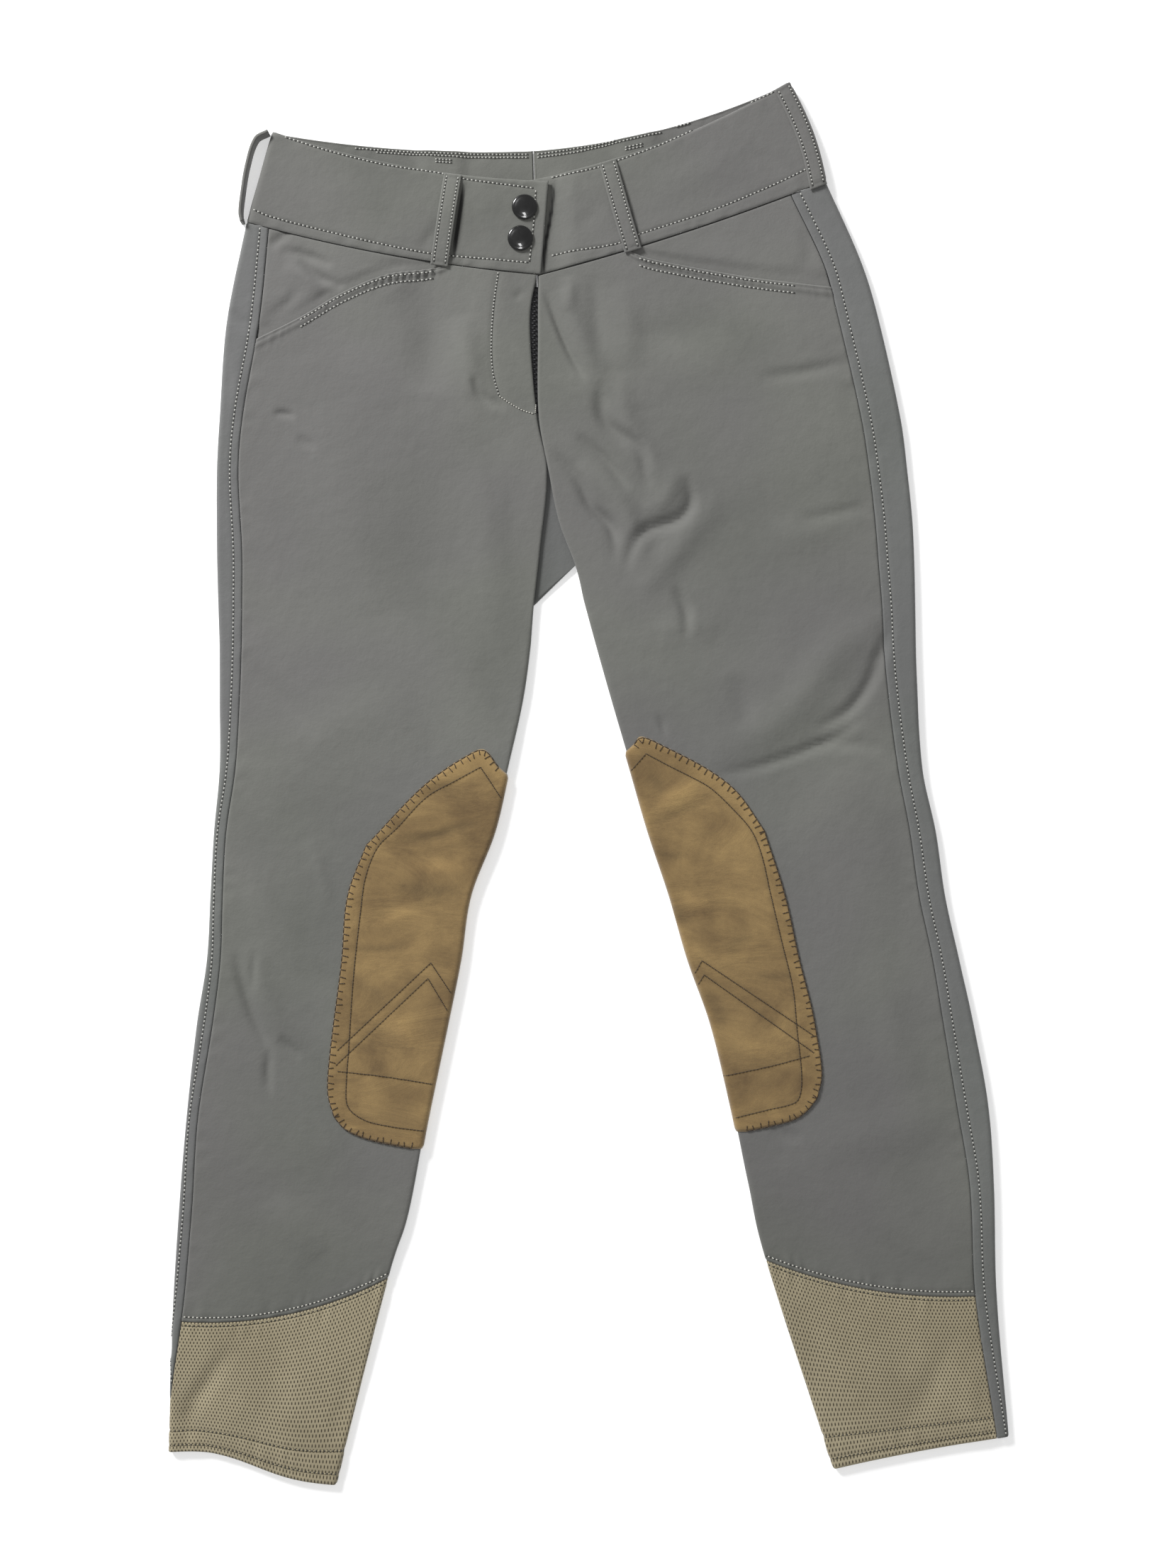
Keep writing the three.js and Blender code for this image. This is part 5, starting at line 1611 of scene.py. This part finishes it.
@dataclass
class Waistband:
    """One half of the waistband, with its belt loops."""

    half: Half
    cut: Cut
    loop_cut: Cut
    sewn: list[tuple[str, Array]] = field(default_factory=list)
    steps: int = 230
    rows: Stations = Stations((0.0, 0.4, 0.9, 1.5, 2.1, 3.0), 56, (3.0, 2.1, 1.5, 0.9, 0.4, 0.0))

    def band(self, wardrobe: Wardrobe) -> bpy.types.Object:
        """Makes the band, from its front end round the outer fold to the centre back."""
        half = self.half
        top = float(half.band.rows.keys[-1])
        foot = float(half.band.rows.keys[0])
        across = Stations((0.0, 0.4, 0.9, 1.5, 2.4), self.steps, (2.4, 1.5, 0.9, 0.4, 0.0))
        rows = [Crease(BAND_TOP_ROW[half.side], 0.9, -0.5, 0.0, 0.1),
                Crease(BAND_LOW_ROW[half.side], 0.9, -0.5, 0.0, 0.1)]
        if half.side is Side.RIGHT:
            rows.append(Crease(BAND_END_ROW, 0.9, -0.45, 0.0, 0.1))

        def place(i: Array, j: Array) -> tuple[Array, Array, Array]:
            """Places the grid's points on the band."""
            level = self.rows.at(j, np.full_like(j, top), np.full_like(j, foot))
            front = half.band.end(level, True) + half.underlap
            back = -half.band.end(level, False) + SEAM_GAP / 2
            run = across.at(i, front, back)
            near_edge = np.minimum(top - level, level - foot)
            depth = rolled(near_edge, 0.6, 2.2) + rolled(front - run, 0.7) + rolled(run - back, 0.6)
            depth += gathers(run, top - level, 9.0, 16.0, 0.2) + gathers(run, level - foot, 12.0, 14.0, 0.3)
            points = half.band.point(level, run, depth)
            sewn = np.where(run > 12.0, creased(rows, points[:, 0], points[:, 1]), 0.0)
            soft = creased(BAND_PUCKERS[half.side], points[:, 0], points[:, 1])
            # Painted shadow: near black in the gaps beside the loops and under the overlap, where shade falls
            painted_gap_shadow = np.where(run > 12.0, creased(BAND_GAP_SHADOWS[half.side], points[:, 0], points[:, 1]), 0.0)
            points[:, 2] += sewn + np.where(run > 12.0, soft, 0.0)
            # Painted shade: near black in the gaps, darker along the stitch rows and over each half as a whole
            painted_shade = np.clip(BAND_PAINTED_SHADE[half.side] + painted_gap_shadow - 0.5 * sewn, -1.0, 1.0)
            return points, np.stack([run, level], -1) * MM, painted_shade

        bm = sheet_mesh(across.steps, self.rows.steps, place)
        name = f"waistband_{half.side.value}"
        made = wardrobe.piece(f"{name}_cloth", bm, Finish.CLOTH, "stretch_woven", [name], BAND)
        self.cut.declare(made, ["floor"])
        return made

    def loop(self, wardrobe: Wardrobe, node: str, face: Face, top: float, foot: float, bulge: float,
             shift: float) -> bpy.types.Object:
        """Makes a belt loop that lies on the band.

        Args:
            wardrobe: Where the piece goes.
            node: The CAD node it stands for.
            face: The face it is on.
            top: Place of its top, as a part of the band's width.
            foot: Place of its foot.
            bulge: How far its middle stands off the band.
            shift: How far its middle stands off sideways.

        Returns:
            The piece.
        """
        band = self.half.band
        high = float(band.rows.keys[-1]) - 0.5
        low = float(band.rows.keys[0]) + (-2.5 if face is Face.FRONT else 1.0)
        across = Stations((0.0, 0.3, 0.8, 1.5, 2.2), 8, (2.2, 1.5, 0.8, 0.3, 0.0))
        down = Stations((0.0, 0.4, 1.0, 2.0, 3.2), 40, (3.2, 2.0, 1.0, 0.4, 0.0))

        def place(i: Array, j: Array) -> tuple[Array, Array, Array]:
            """Places the grid's points over the band."""
            level = down.at(j, np.full_like(j, high), np.full_like(j, low))
            front = np.full(level.shape, face is Face.FRONT)
            width = band.layer(band.section(level), front)["width"]
            part = mix(top, foot, (high - level) / (high - low))
            half_width = np.full_like(level, LOOP_WIDTH / 2)
            off = across.at(i, -half_width, half_width)
            run = band.run_at(level, part * width) + off
            arch = np.sin(math.pi * (high - level) / (high - low))
            side = LOOP_WIDTH / 2 - np.abs(off)
            ends = np.minimum(high - level, level - low)
            depth = -SEAM_GAP - LOOP - bulge * arch + rolled(side, 0.6, 1.2) + rolled(ends, 0.6, 1.4)
            sewn = groove(side, 2.2, 0.35) + groove(ends, 2.6, 0.5, 1.2)
            points = band.point(level, face.value * run, depth + sewn)
            points[:, 0] += self.half.sign * shift * arch
            # Painted shade along the stitch grooves
            return points, np.stack([run, level], -1) * MM, 0.5 * sewn

        bm = sheet_mesh(across.steps, down.steps, place)
        if face is Face.FRONT:
            level = np.linspace(high - 2.0, low + 2.0, 12)
            run = mix(top, foot, (high - level) / (high - low))
            run = band.run_at(level, run * band.layer(band.section(level), level > low)["width"])
            arch = np.sin(math.pi * (high - level) / (high - low))
            for off in (2.2 - LOOP_WIDTH / 2, LOOP_WIDTH / 2 - 2.2):
                line = band.point(level, run + off, 0.0)
                line[:, 0] += self.half.sign * shift * arch
                self.sewn.append((f"{node}_cloth", line[:, :2]))
        made = wardrobe.piece(f"{node}_cloth", bm, Finish.CLOTH, "stretch_woven", [node], LOOP)
        self.loop_cut.declare(made, [f"waistband_{self.half.side.value}_cloth"])
        return made


@dataclass
class StandingLoop:
    """The right side loop, which stands off the band on its edge."""

    cut: Cut
    path: Path = ((-225.2, 459.6), (-234.0, 454.5), (-240.2, 436), (-243.8, 414), (-244.9, 402), (-243.7, 396.0))
    width: float = 10.2
    thick: float = 2.2

    def build(self, wardrobe: Wardrobe) -> bpy.types.Object:
        """Makes the loop."""
        line = curve_through(self.path, 1.2)
        rows = len(line) - 1
        across = Stations((0.0, 0.4, 1.0, 2.0), 6, (2.0, 1.0, 0.4, 0.0))

        def place(i: Array, j: Array) -> tuple[Array, Array, Array]:
            """Places the grid's points along the path."""
            at = line[j.astype(int)]
            z = across.at(i, np.zeros_like(i), np.full_like(i, self.width))
            return np.column_stack([at, z]), np.column_stack([z, j * 1.2]) * MM, np.zeros_like(z)

        bm = sheet_mesh(across.steps, rows, place)
        made = wardrobe.piece("loop_side_right_cloth", bm, Finish.CLOTH, "stretch_woven", ["loop_side_right"],
                              self.thick, 0.0)
        self.cut.declare(made, ["waistband_right_cloth"])
        return made


@dataclass
class KneePatch:
    """A suede knee patch, wrapped round the inner fold."""

    half: Half
    cut: Cut
    creases: Sequence[Crease]
    stitched: Sequence[Path]
    columns: int = 60
    bend: int = 16
    back_columns: int = 30
    rows: int = 120

    def build(self, wardrobe: Wardrobe) -> bpy.types.Object:
        """Makes the patch."""
        shape = self.half.patch
        high = shape.high
        low = shape.low
        corner = PATCH_MIDDLE - PATCH_CORNER
        back_top = Outline([(-FOLD_REACH, high - FOLD_DROP), (-corner, high - PATCH_DROP),
                            (-PATCH_MIDDLE, high - PATCH_DROP - PATCH_CORNER)])
        back_bottom = Outline([(-FOLD_REACH, low), (-corner + 4, low + 1),
                               (-PATCH_MIDDLE + 3, low + PATCH_CORNER)])
        back_side = Outline([(-PATCH_MIDDLE, high - PATCH_DROP - PATCH_CORNER), (-PATCH_MIDDLE - 1, -130),
                             (-PATCH_MIDDLE + 3, low + PATCH_CORNER)])
        inner = Outline([(FOLD_REACH, high), (FOLD_REACH, low)])
        outer = Outline([(-FOLD_REACH, high - FOLD_DROP), (-FOLD_REACH, low)])
        self.back_edge = [back_top, back_side, back_bottom]
        grooves = [Crease(path, 1.1, -0.35, 0.0, 0.1) for path in self.stitched]
        total = self.columns + self.bend + self.back_columns

        def place(i: Array, j: Array) -> tuple[Array, Array, Array]:
            """Places the grid's points over the leg."""
            v = j / self.rows
            u = np.clip(i / self.columns, 0.0, 1.0)
            at = blended(shape.top, shape.bottom, shape.side, inner, u, v)
            turn = (i - self.columns) / self.bend
            fold = np.stack([FOLD_REACH * (1.0 - 2.0 * turn), mix(high - FOLD_DROP * turn, low, v)], -1)
            at = np.where((turn > 0)[:, None], fold, at)
            u = np.clip((i - self.columns - self.bend) / self.back_columns, 0.0, 1.0)
            behind = blended(back_top, back_bottom, outer, back_side, u, v)
            at = np.where((turn > 1)[:, None], behind, at)
            edge = np.minimum(np.minimum(i, total - i) * 1.5, np.minimum(j, self.rows - j) * 2.2)
            depth = -PATCH_LIFT + 0.2 + rolled(edge, 0.9, 2.6)
            run = self.half.leg.from_fold(at[:, 1], at[:, 0])
            points = self.half.leg.point(at[:, 1], run, depth)
            sewn = np.where(turn > 0, 0.0, creased(grooves, points[:, 0], points[:, 1]))
            soft = np.where(turn > 0.4, 0.0, creased(self.creases, points[:, 0], points[:, 1]))
            points[:, 2] += sewn + soft
            # Painted shade in the stitch grooves and the creases' troughs and painted light on their ridges; paler
            # along the patch's edge
            painted_shade = np.minimum(-0.7 * sewn - 0.5 * soft, 0.55) - 0.16 * (1.0 - smooth(6.5, 9.5, edge))
            return points, at * MM, painted_shade

        bm = sheet_mesh(total, self.rows, place)
        node = f"knee_patch_{self.half.side.value}"
        made = wardrobe.piece(f"{node}_suede", bm, Finish.SUEDE, "suede", [node], SUEDE)
        self.cut.declare(made, [f"front_{self.half.side.value}_cloth"])
        return made

    def plan(self, outline: Outline, face: Face) -> Array:
        """The outline's points in plan, for stitches.

        Args:
            outline: Part of the edge.
            face: The face that it is on; not used.

        Returns:
            x and y along it.
        """
        at = outline.along(np.linspace(0.0, 1.0, 40))
        run = self.half.leg.from_fold(at[:, 1], at[:, 0])
        return self.half.leg.point(at[:, 1], run, -PATCH_LIFT)[:, :2]


@dataclass
class Cuff:
    """The stretch mesh cuff of one leg."""

    half: Half
    cut: Cut
    columns: int = 150

    def build(self, wardrobe: Wardrobe) -> bpy.types.Object:
        """Makes the cuff, from the outseam round the inner fold to the strip."""
        half = self.half
        top = half.cuff_level - SEWN_GAP / 2
        across = Stations((0.0, 0.4, 0.9, 1.5, 2.4), self.columns, (2.4, 1.5, 0.9, 0.4, 0.0))
        down = Stations((0.0, 0.4, 0.9, 1.5, 2.4), 80, (2.4, 1.5, 0.9, 0.4, 0.0))

        def place(i: Array, j: Array) -> tuple[Array, Array, Array]:
            """Places the grid's points on the leg's lowest part."""
            level = down.at(j, np.full_like(j, top), np.full_like(j, half.hem_level))
            end = half.leg.end(level, True)
            seam = half.seam(level) + SEWN_GAP / 2
            back = half.leg.end(level, False) - STRIP_BEHIND - SEAM_GAP
            reach = across.at(i, end - seam, -back)
            run = half.leg.from_fold(level, reach)
            to_top = top - level
            to_hem = level - half.hem_level
            depth = rolled(to_top) + rolled(end - seam - reach) + rolled(to_hem, 0.8)
            sewn = groove(to_hem, 5.0, 0.4, 1.2) + groove(to_hem, 15.0, 0.45, 1.2) + groove(to_top, 2.5, 0.35)
            depth += sewn + 0.3 * smooth(14.0, 16.0, to_hem)
            depth += gathers(run, to_top, 16.0, 9.0, 0.4) + gathers(run, to_hem, 22.0, 12.0, 0.35)
            # Painted shade along the stitch grooves
            return half.leg.point(level, run, depth), np.stack([run, level], -1) * MM, 0.5 * sewn

        bm = sheet_mesh(across.steps, down.steps, place)
        node = f"cuff_{half.side.value}"
        made = wardrobe.piece(f"{node}_mesh", bm, Finish.KNIT, "mesh_knit", [node], KNIT)
        self.cut.declare(made, ["floor"])
        return made


@dataclass
class FlyZip:
    """The zip behind the fly, closed, with its teeth."""

    cut: Cut
    top: float = 351.0
    foot: float = 262.0
    middle: float = -38.0
    half_width: float = 7.0
    height: float = 4.6
    tooth: tuple[float, float, float] = (2.4, 1.0, 1.0)
    pitch: float = 1.7

    def build(self, wardrobe: Wardrobe) -> bpy.types.Object:
        """Makes the tape and teeth as one piece."""
        columns = 14
        rows = 50

        def place(i: Array, j: Array) -> tuple[Array, Array, Array]:
            """Places the tape's points."""
            v = j / rows
            left = -self.half_width - 5.0 * 2.0 * v * (1.0 - v) + 2.0 * v * v
            x = self.middle + mix(left, self.half_width, i / columns)
            y = mix(self.top, self.foot, v)
            at = np.stack([x, y, np.full_like(x, self.height - 1.0)], -1)
            return at, np.stack([x, y], -1) * MM, np.zeros_like(x)

        bm = sheet_mesh(columns, rows, place, middle=0.0)
        count = int((self.top - self.foot - 4.0) / self.pitch)
        for k in range(count):
            side = 0.7 if k % 2 else -0.7
            at = Vector((self.middle + side, self.foot + 2.0 + k * self.pitch, self.height - 0.6)) * MM
            size = Matrix.Diagonal((*(MM * value for value in self.tooth), 1.0))
            bmesh.ops.create_cube(bm, size=1.0, matrix=Matrix.Translation(at) @ size)
        made = wardrobe.piece("fly_zip_tape", bm, Finish.ZIP, "zip_tape", ["fly_zip"], 0.6)
        self.cut.declare(made, ["front_left_cloth"])
        return made


@dataclass
class SnapCap:
    """The plain domed cap of a closed snap."""

    node: str
    x: float
    y: float
    radius: float = 8.9
    height: float = 2.9
    profile: Path = ((0.0, 0.0), (0.9, 0.0), (0.97, 0.08), (1.0, 0.2), (1.0, 0.34), (0.96, 0.5), (0.9, 0.6),
                     (0.84, 0.64), (0.8, 0.66), (0.72, 0.75), (0.6, 0.85), (0.45, 0.92), (0.3, 0.965),
                     (0.15, 0.99), (0.0, 1.0))

    def build(self, wardrobe: Wardrobe) -> bpy.types.Object:
        """Makes the cap by turning its profile."""
        foot = BAND_HEIGHT + OVERLAP_RISE + SEAM_GAP
        bm = bmesh.new()
        verts = [bm.verts.new((self.x * MM + out * self.radius * MM, self.y * MM,
                               (foot + up * self.height) * MM)) for out, up in self.profile]
        edges = [bm.edges.new(pair) for pair in zip(verts[:-1], verts[1:])]
        bmesh.ops.spin(bm, geom=verts + edges, cent=(self.x * MM, self.y * MM, 0.0), axis=(0, 0, 1),
                       angle=2.0 * math.pi, steps=64, use_merge=True)
        bmesh.ops.remove_doubles(bm, verts=bm.verts[:], dist=1e-6)
        bmesh.ops.recalc_face_normals(bm, faces=bm.faces[:])
        return wardrobe.piece(f"{self.node}_cap", bm, Finish.METAL, "snap_metal", [self.node])


@dataclass
class Studio:
    """The floor, soft lights and camera."""

    lens: float = 50.0
    sensor: float = 36.0
    frame_height: float = 1.106
    plane: float = 0.006
    ambient: float = 0.36

    def build(self, wardrobe: Wardrobe) -> None:
        """Makes the studio."""
        bm = bmesh.new()
        bmesh.ops.create_grid(bm, x_segments=1, y_segments=1, size=5.0,
                              matrix=Matrix.Translation((0.0, 0.0, -0.0006)))
        mesh = bpy.data.meshes.new("floor")
        bm.to_mesh(mesh)
        bm.free()
        floor = bpy.data.objects.new("floor", mesh)
        bpy.context.scene.collection.objects.link(floor)
        floor.data.materials.append(wardrobe.material(Finish.FLOOR))
        world = bpy.data.worlds.new("studio")
        world.use_nodes = True
        world.node_tree.nodes["Background"].inputs["Color"].default_value = (1.0, 1.0, 1.0, 1.0)
        world.node_tree.nodes["Background"].inputs["Strength"].default_value = self.ambient
        bpy.context.scene.world = world
        self.light("key", (-1.95, 2.3, 1.63), 0.85, 152.0)
        self.light("glint", (-0.11, -0.04, 2.2), 0.3, 9.5, 2.2)
        bpy.context.scene.view_settings.view_transform = "Standard"
        camera = bpy.data.cameras.new("camera")
        camera.lens = self.lens
        camera.sensor_width = self.sensor
        camera.clip_end = 20.0
        seen = bpy.data.objects.new("camera", camera)
        seen.location = (0.0, 0.0, self.lens / self.sensor * self.frame_height + self.plane)
        bpy.context.scene.collection.objects.link(seen)
        bpy.context.scene.camera = seen

    def light(self, name: str, place: tuple[float, float, float], size: float, power: float,
              wide: float = 1.0) -> None:
        """Adds a soft light that faces the garment.

        Args:
            name: Its name.
            place: Where it stands.
            size: Its height.
            power: Its power in watts.
            wide: Its width as a part of its height.
        """
        lamp = bpy.data.lights.new(name, "AREA")
        lamp.shape = "RECTANGLE"
        lamp.size = size * wide
        lamp.size_y = size
        lamp.energy = power
        made = bpy.data.objects.new(name, lamp)
        made.location = place
        made.rotation_mode = "QUATERNION"
        made.rotation_quaternion = (-Vector(place)).to_track_quat("-Z", "Y")
        bpy.context.scene.collection.objects.link(made)


@dataclass
class Seams:
    """All the rows of stitches."""

    right: Half
    left: Half

    def line(self, half: Half, level: Array, run: Array) -> Array:
        """Places on a leg, in plan."""
        return half.leg.point(level, run, 0.0)[:, :2]

    def band_rows(self, wardrobe: Wardrobe, bands: dict[Side, Waistband]) -> None:
        """Sews the rows of the waistband and its loops.

        Args:
            wardrobe: Where the pieces are.
            bands: The two halves of the band.
        """
        rows = Stitching("stitching_waistband", Finish.THREAD, "stretch_woven")
        for side, band in bands.items():
            tree = wardrobe.trees[f"waistband_{side.value}_cloth"]
            rows.row(tree, BAND_TOP_ROW[side])
            rows.row(tree, BAND_LOW_ROW[side])
            for name, path in band.sewn:
                rows.row(wardrobe.trees[name], path, 2.6)
        rows.row(wardrobe.trees["waistband_right_cloth"], BAND_END_ROW)
        for side, path in BAND_INSIDE_ROWS:
            rows.row(wardrobe.trees[f"waistband_{side.value}_cloth"], path, 2.6, raised=BAND)
        rows.finish_rows(wardrobe)

    def leg_rows(self, wardrobe: Wardrobe, half: Half, inset: float) -> None:
        """Sews the rows of one leg: outseam, pocket, cuff and hem.

        Args:
            wardrobe: Where the pieces are.
            half: The leg.
            inset: Distance from the outseam to its row.
        """
        side = half.side.value
        rows = Stitching(f"stitching_leg_{side}", Finish.THREAD, "stretch_woven")
        front = wardrobe.trees[f"front_{side}_cloth"]
        back = wardrobe.trees[f"back_{side}_cloth"]
        level = np.linspace(half.waist - 1.0, half.hem_level + 1.0, 60)
        rows.row(back, self.line(half, level, half.seam(level) - inset))
        mouth = half.mouth
        x = np.linspace(mouth.keys[1], mouth.keys[-2], 20)
        for drop in (2.4, 7.2):
            rows.row(front, np.column_stack([x, mouth.at("y", x) - drop]))
        rows.finish_rows(wardrobe)
        pale = Stitching(f"stitching_cuff_seam_{side}", Finish.PALE, "mesh_knit")
        knit = Stitching(f"stitching_cuff_{side}", Finish.OLIVE, "mesh_knit")
        cuff = wardrobe.trees[f"cuff_{side}_mesh"]
        for face in Face:
            for rows, tree, at in ((pale, front if face is Face.FRONT else back, half.cuff_level + 3.5),
                                   (knit, cuff, half.cuff_level - 2.5), (knit, cuff, half.hem_level + 5.0),
                                   (knit, cuff, half.hem_level + 15.0)):
                level = np.full(30, at)
                end = half.leg.end(level, face is Face.FRONT) - 3.0
                start = half.seam(level) + 1.0 if face is Face.FRONT else np.full(30, STRIP_BEHIND + 2.0)
                run = np.linspace(0.0, 1.0, 30) * (end - start) + start
                rows.row(tree, self.line(half, level, face.value * run), face=face)
        pale.finish_rows(wardrobe)
        knit.finish_rows(wardrobe)

    def fly_rows(self, wardrobe: Wardrobe) -> None:
        """Sews the fly."""
        rows = Stitching("stitching_fly", Finish.THREAD, "stretch_woven")
        front = wardrobe.trees["front_right_cloth"]
        rows.row(front, ((-63.3, 361), (-66.8, 335.5), (-68.3, 306), (-66.8, 288.5), (-62.8, 274)), 2.4)
        rows.finish_rows(wardrobe)
        tack = Stitching("stitching_fly_foot", Finish.PALE, "stretch_woven", 0.9, 0.3)
        tack.row(front, ((-62.8, 274), (-54.3, 268), (-46, 263.5), (-38.3, 261.0)), 2.0, 0.85)
        tack.row(front, ((-37.4, 274), (-37.0, 268), (-37.3, 261.5)), 1.3, 0.95)
        tack.finish_rows(wardrobe)

    def patch_rows(self, wardrobe: Wardrobe, patch: KneePatch) -> None:
        """Sews one knee patch.

        Args:
            wardrobe: Where the pieces are.
            patch: The patch.
        """
        side = patch.half.side.value
        rows = Stitching(f"stitching_patch_{side}", Finish.BROWN, "suede", 0.85, 0.2)
        tree = wardrobe.trees[f"knee_patch_{side}_suede"]
        for path in patch.stitched:
            rows.row(tree, path, 2.6, 0.78)
        shape = patch.half.patch
        centre = patch.half.leg.point(np.array([-120.0]), patch.half.leg.end(np.array([-120.0]), True) - 40, 0)
        for outline in (shape.top, shape.side, shape.bottom):
            rows.blanket(tree, patch.plan(outline, Face.FRONT), centre[0, :2])
        behind = patch.half.leg.point(np.array([-120.0]), 40 - patch.half.leg.end(np.array([-120.0]), False), 0)
        for outline in patch.back_edge:
            rows.blanket(tree, patch.plan(outline, Face.BACK), behind[0, :2], face=Face.BACK)
        rows.finish_rows(wardrobe)


RIGHT_PATCH_ROWS = (
    ((-61.1, -10.2), (-75.8, 11.9)),
    ((-75.8, 11.9), (-94, 2), (-113.7, -9.1), (-134.8, -31.2), (-148.5, -44.9), (-156.9, -66), (-160, -87),
     (-165.3, -135.4), (-168.5, -183.9), (-170.6, -221.8), (-167.4, -230.2), (-155.8, -237.6),
     (-136.9, -241.8), (-115.9, -244.5)),
    ((-176.8, -188), (-110.8, -126)), ((-110.8, -126), (-96.8, -147)),
    ((-177.8, -198.5), (-112.8, -137)), ((-112.8, -137), (-99.3, -159.5)),
    ((-176.8, -202.5), (-145.3, -206), (-109.8, -211.5)),
)
LEFT_PATCH_ROWS = (
    ((30.3, 9.3), (40.9, 21.4)),
    ((40.9, 21.4), (56, 13.3), (72, 5.3), (86.1, -2.7), (102.2, -17.8), (115.2, -32.9), (122.3, -49.9),
     (128.3, -76), (136.3, -110.2), (144.4, -144.3), (147.4, -174.5), (150.4, -202.6), (150, -216.7),
     (146.4, -224.3), (126.3, -229.7), (104.2, -235.2)),
    ((75.3, -133.5), (80.3, -124.5)), ((80.3, -124.5), (159.3, -177.5)),
    ((76.3, -143.5), (81.8, -134.5)), ((81.8, -134.5), (159.3, -189.5)),
    ((95.3, -206), (130.3, -198.5), (156.3, -191.5)),
)


def main() -> None:
    """Builds every piece in order."""
    logging.basicConfig(level=logging.INFO, format="%(name)s: %(message)s")
    wardrobe = Wardrobe()
    Studio().build(wardrobe)
    right = right_half()
    left = left_half()
    cuts = (
        (right, Cut(0.26, 0.79, 0.150), Cut(0.26, 0.89, 0.190), Cut(0.14, 0.09, 0.0065)),
        (left, Cut(0.25, 0.80, 0.150), Cut(0.26, 0.90, 0.190), Cut(0.14, 0.09, 0.0065)),
    )
    creases = {Side.RIGHT: RIGHT_FACING_CREASES, Side.LEFT: LEFT_FACING_CREASES}
    for half, front_cut, back_cut, facing_cut in cuts:
        panels = Panels(half, front_cut, back_cut, facing_cut, INSET[half.side])
        panels.front(wardrobe)
        panels.back(wardrobe)
        panels.facing(wardrobe, creases[half.side])
    loop_cut = Cut(0.0125, 0.075, 0.0009)
    bands = {half.side: Waistband(half, Cut(0.42, 0.07, 0.026), loop_cut) for half in (right, left)}
    for band in bands.values():
        band.band(wardrobe)
    bands[Side.RIGHT].loop(wardrobe, "loop_front_right", Face.FRONT, 0.662, 0.661, 2.6, 0.0)
    bands[Side.LEFT].loop(wardrobe, "loop_front_left", Face.FRONT, 0.737, 0.675, 1.4, 0.0)
    bands[Side.LEFT].loop(wardrobe, "loop_side_left", Face.FRONT, 0.031, 0.031, 0.0, 3.6)
    bands[Side.RIGHT].loop(wardrobe, "loop_back_right", Face.BACK, 0.656, 0.656, 0.0, 0.0)
    bands[Side.LEFT].loop(wardrobe, "loop_back_left", Face.BACK, 0.612, 0.612, 0.0, 0.0)
    StandingLoop(Cut(0.0102, 0.070, 0.0007)).build(wardrobe)
    patch_cut = Cut(0.155, 0.29, 0.036)
    patches = [KneePatch(right, patch_cut, RIGHT_PATCH_CREASES, RIGHT_PATCH_ROWS),
               KneePatch(left, patch_cut, LEFT_PATCH_CREASES, LEFT_PATCH_ROWS)]
    for patch in patches:
        patch.build(wardrobe)
    for half in (right, left):
        Cuff(half, Cut(0.28, 0.13, 0.031)).build(wardrobe)
    FlyZip(Cut(0.016, 0.089, 0.0014)).build(wardrobe)
    SnapCap("snap_upper", -44.7, 406.5).build(wardrobe)
    SnapCap("snap_lower", -47.7, 384.5).build(wardrobe)
    seams = Seams(right, left)
    seams.band_rows(wardrobe, bands)
    for half in (right, left):
        seams.leg_rows(wardrobe, half, INSET[half.side])
    seams.fly_rows(wardrobe)
    for patch in patches:
        seams.patch_rows(wardrobe, patch)


if __name__ == "__main__":
    main()
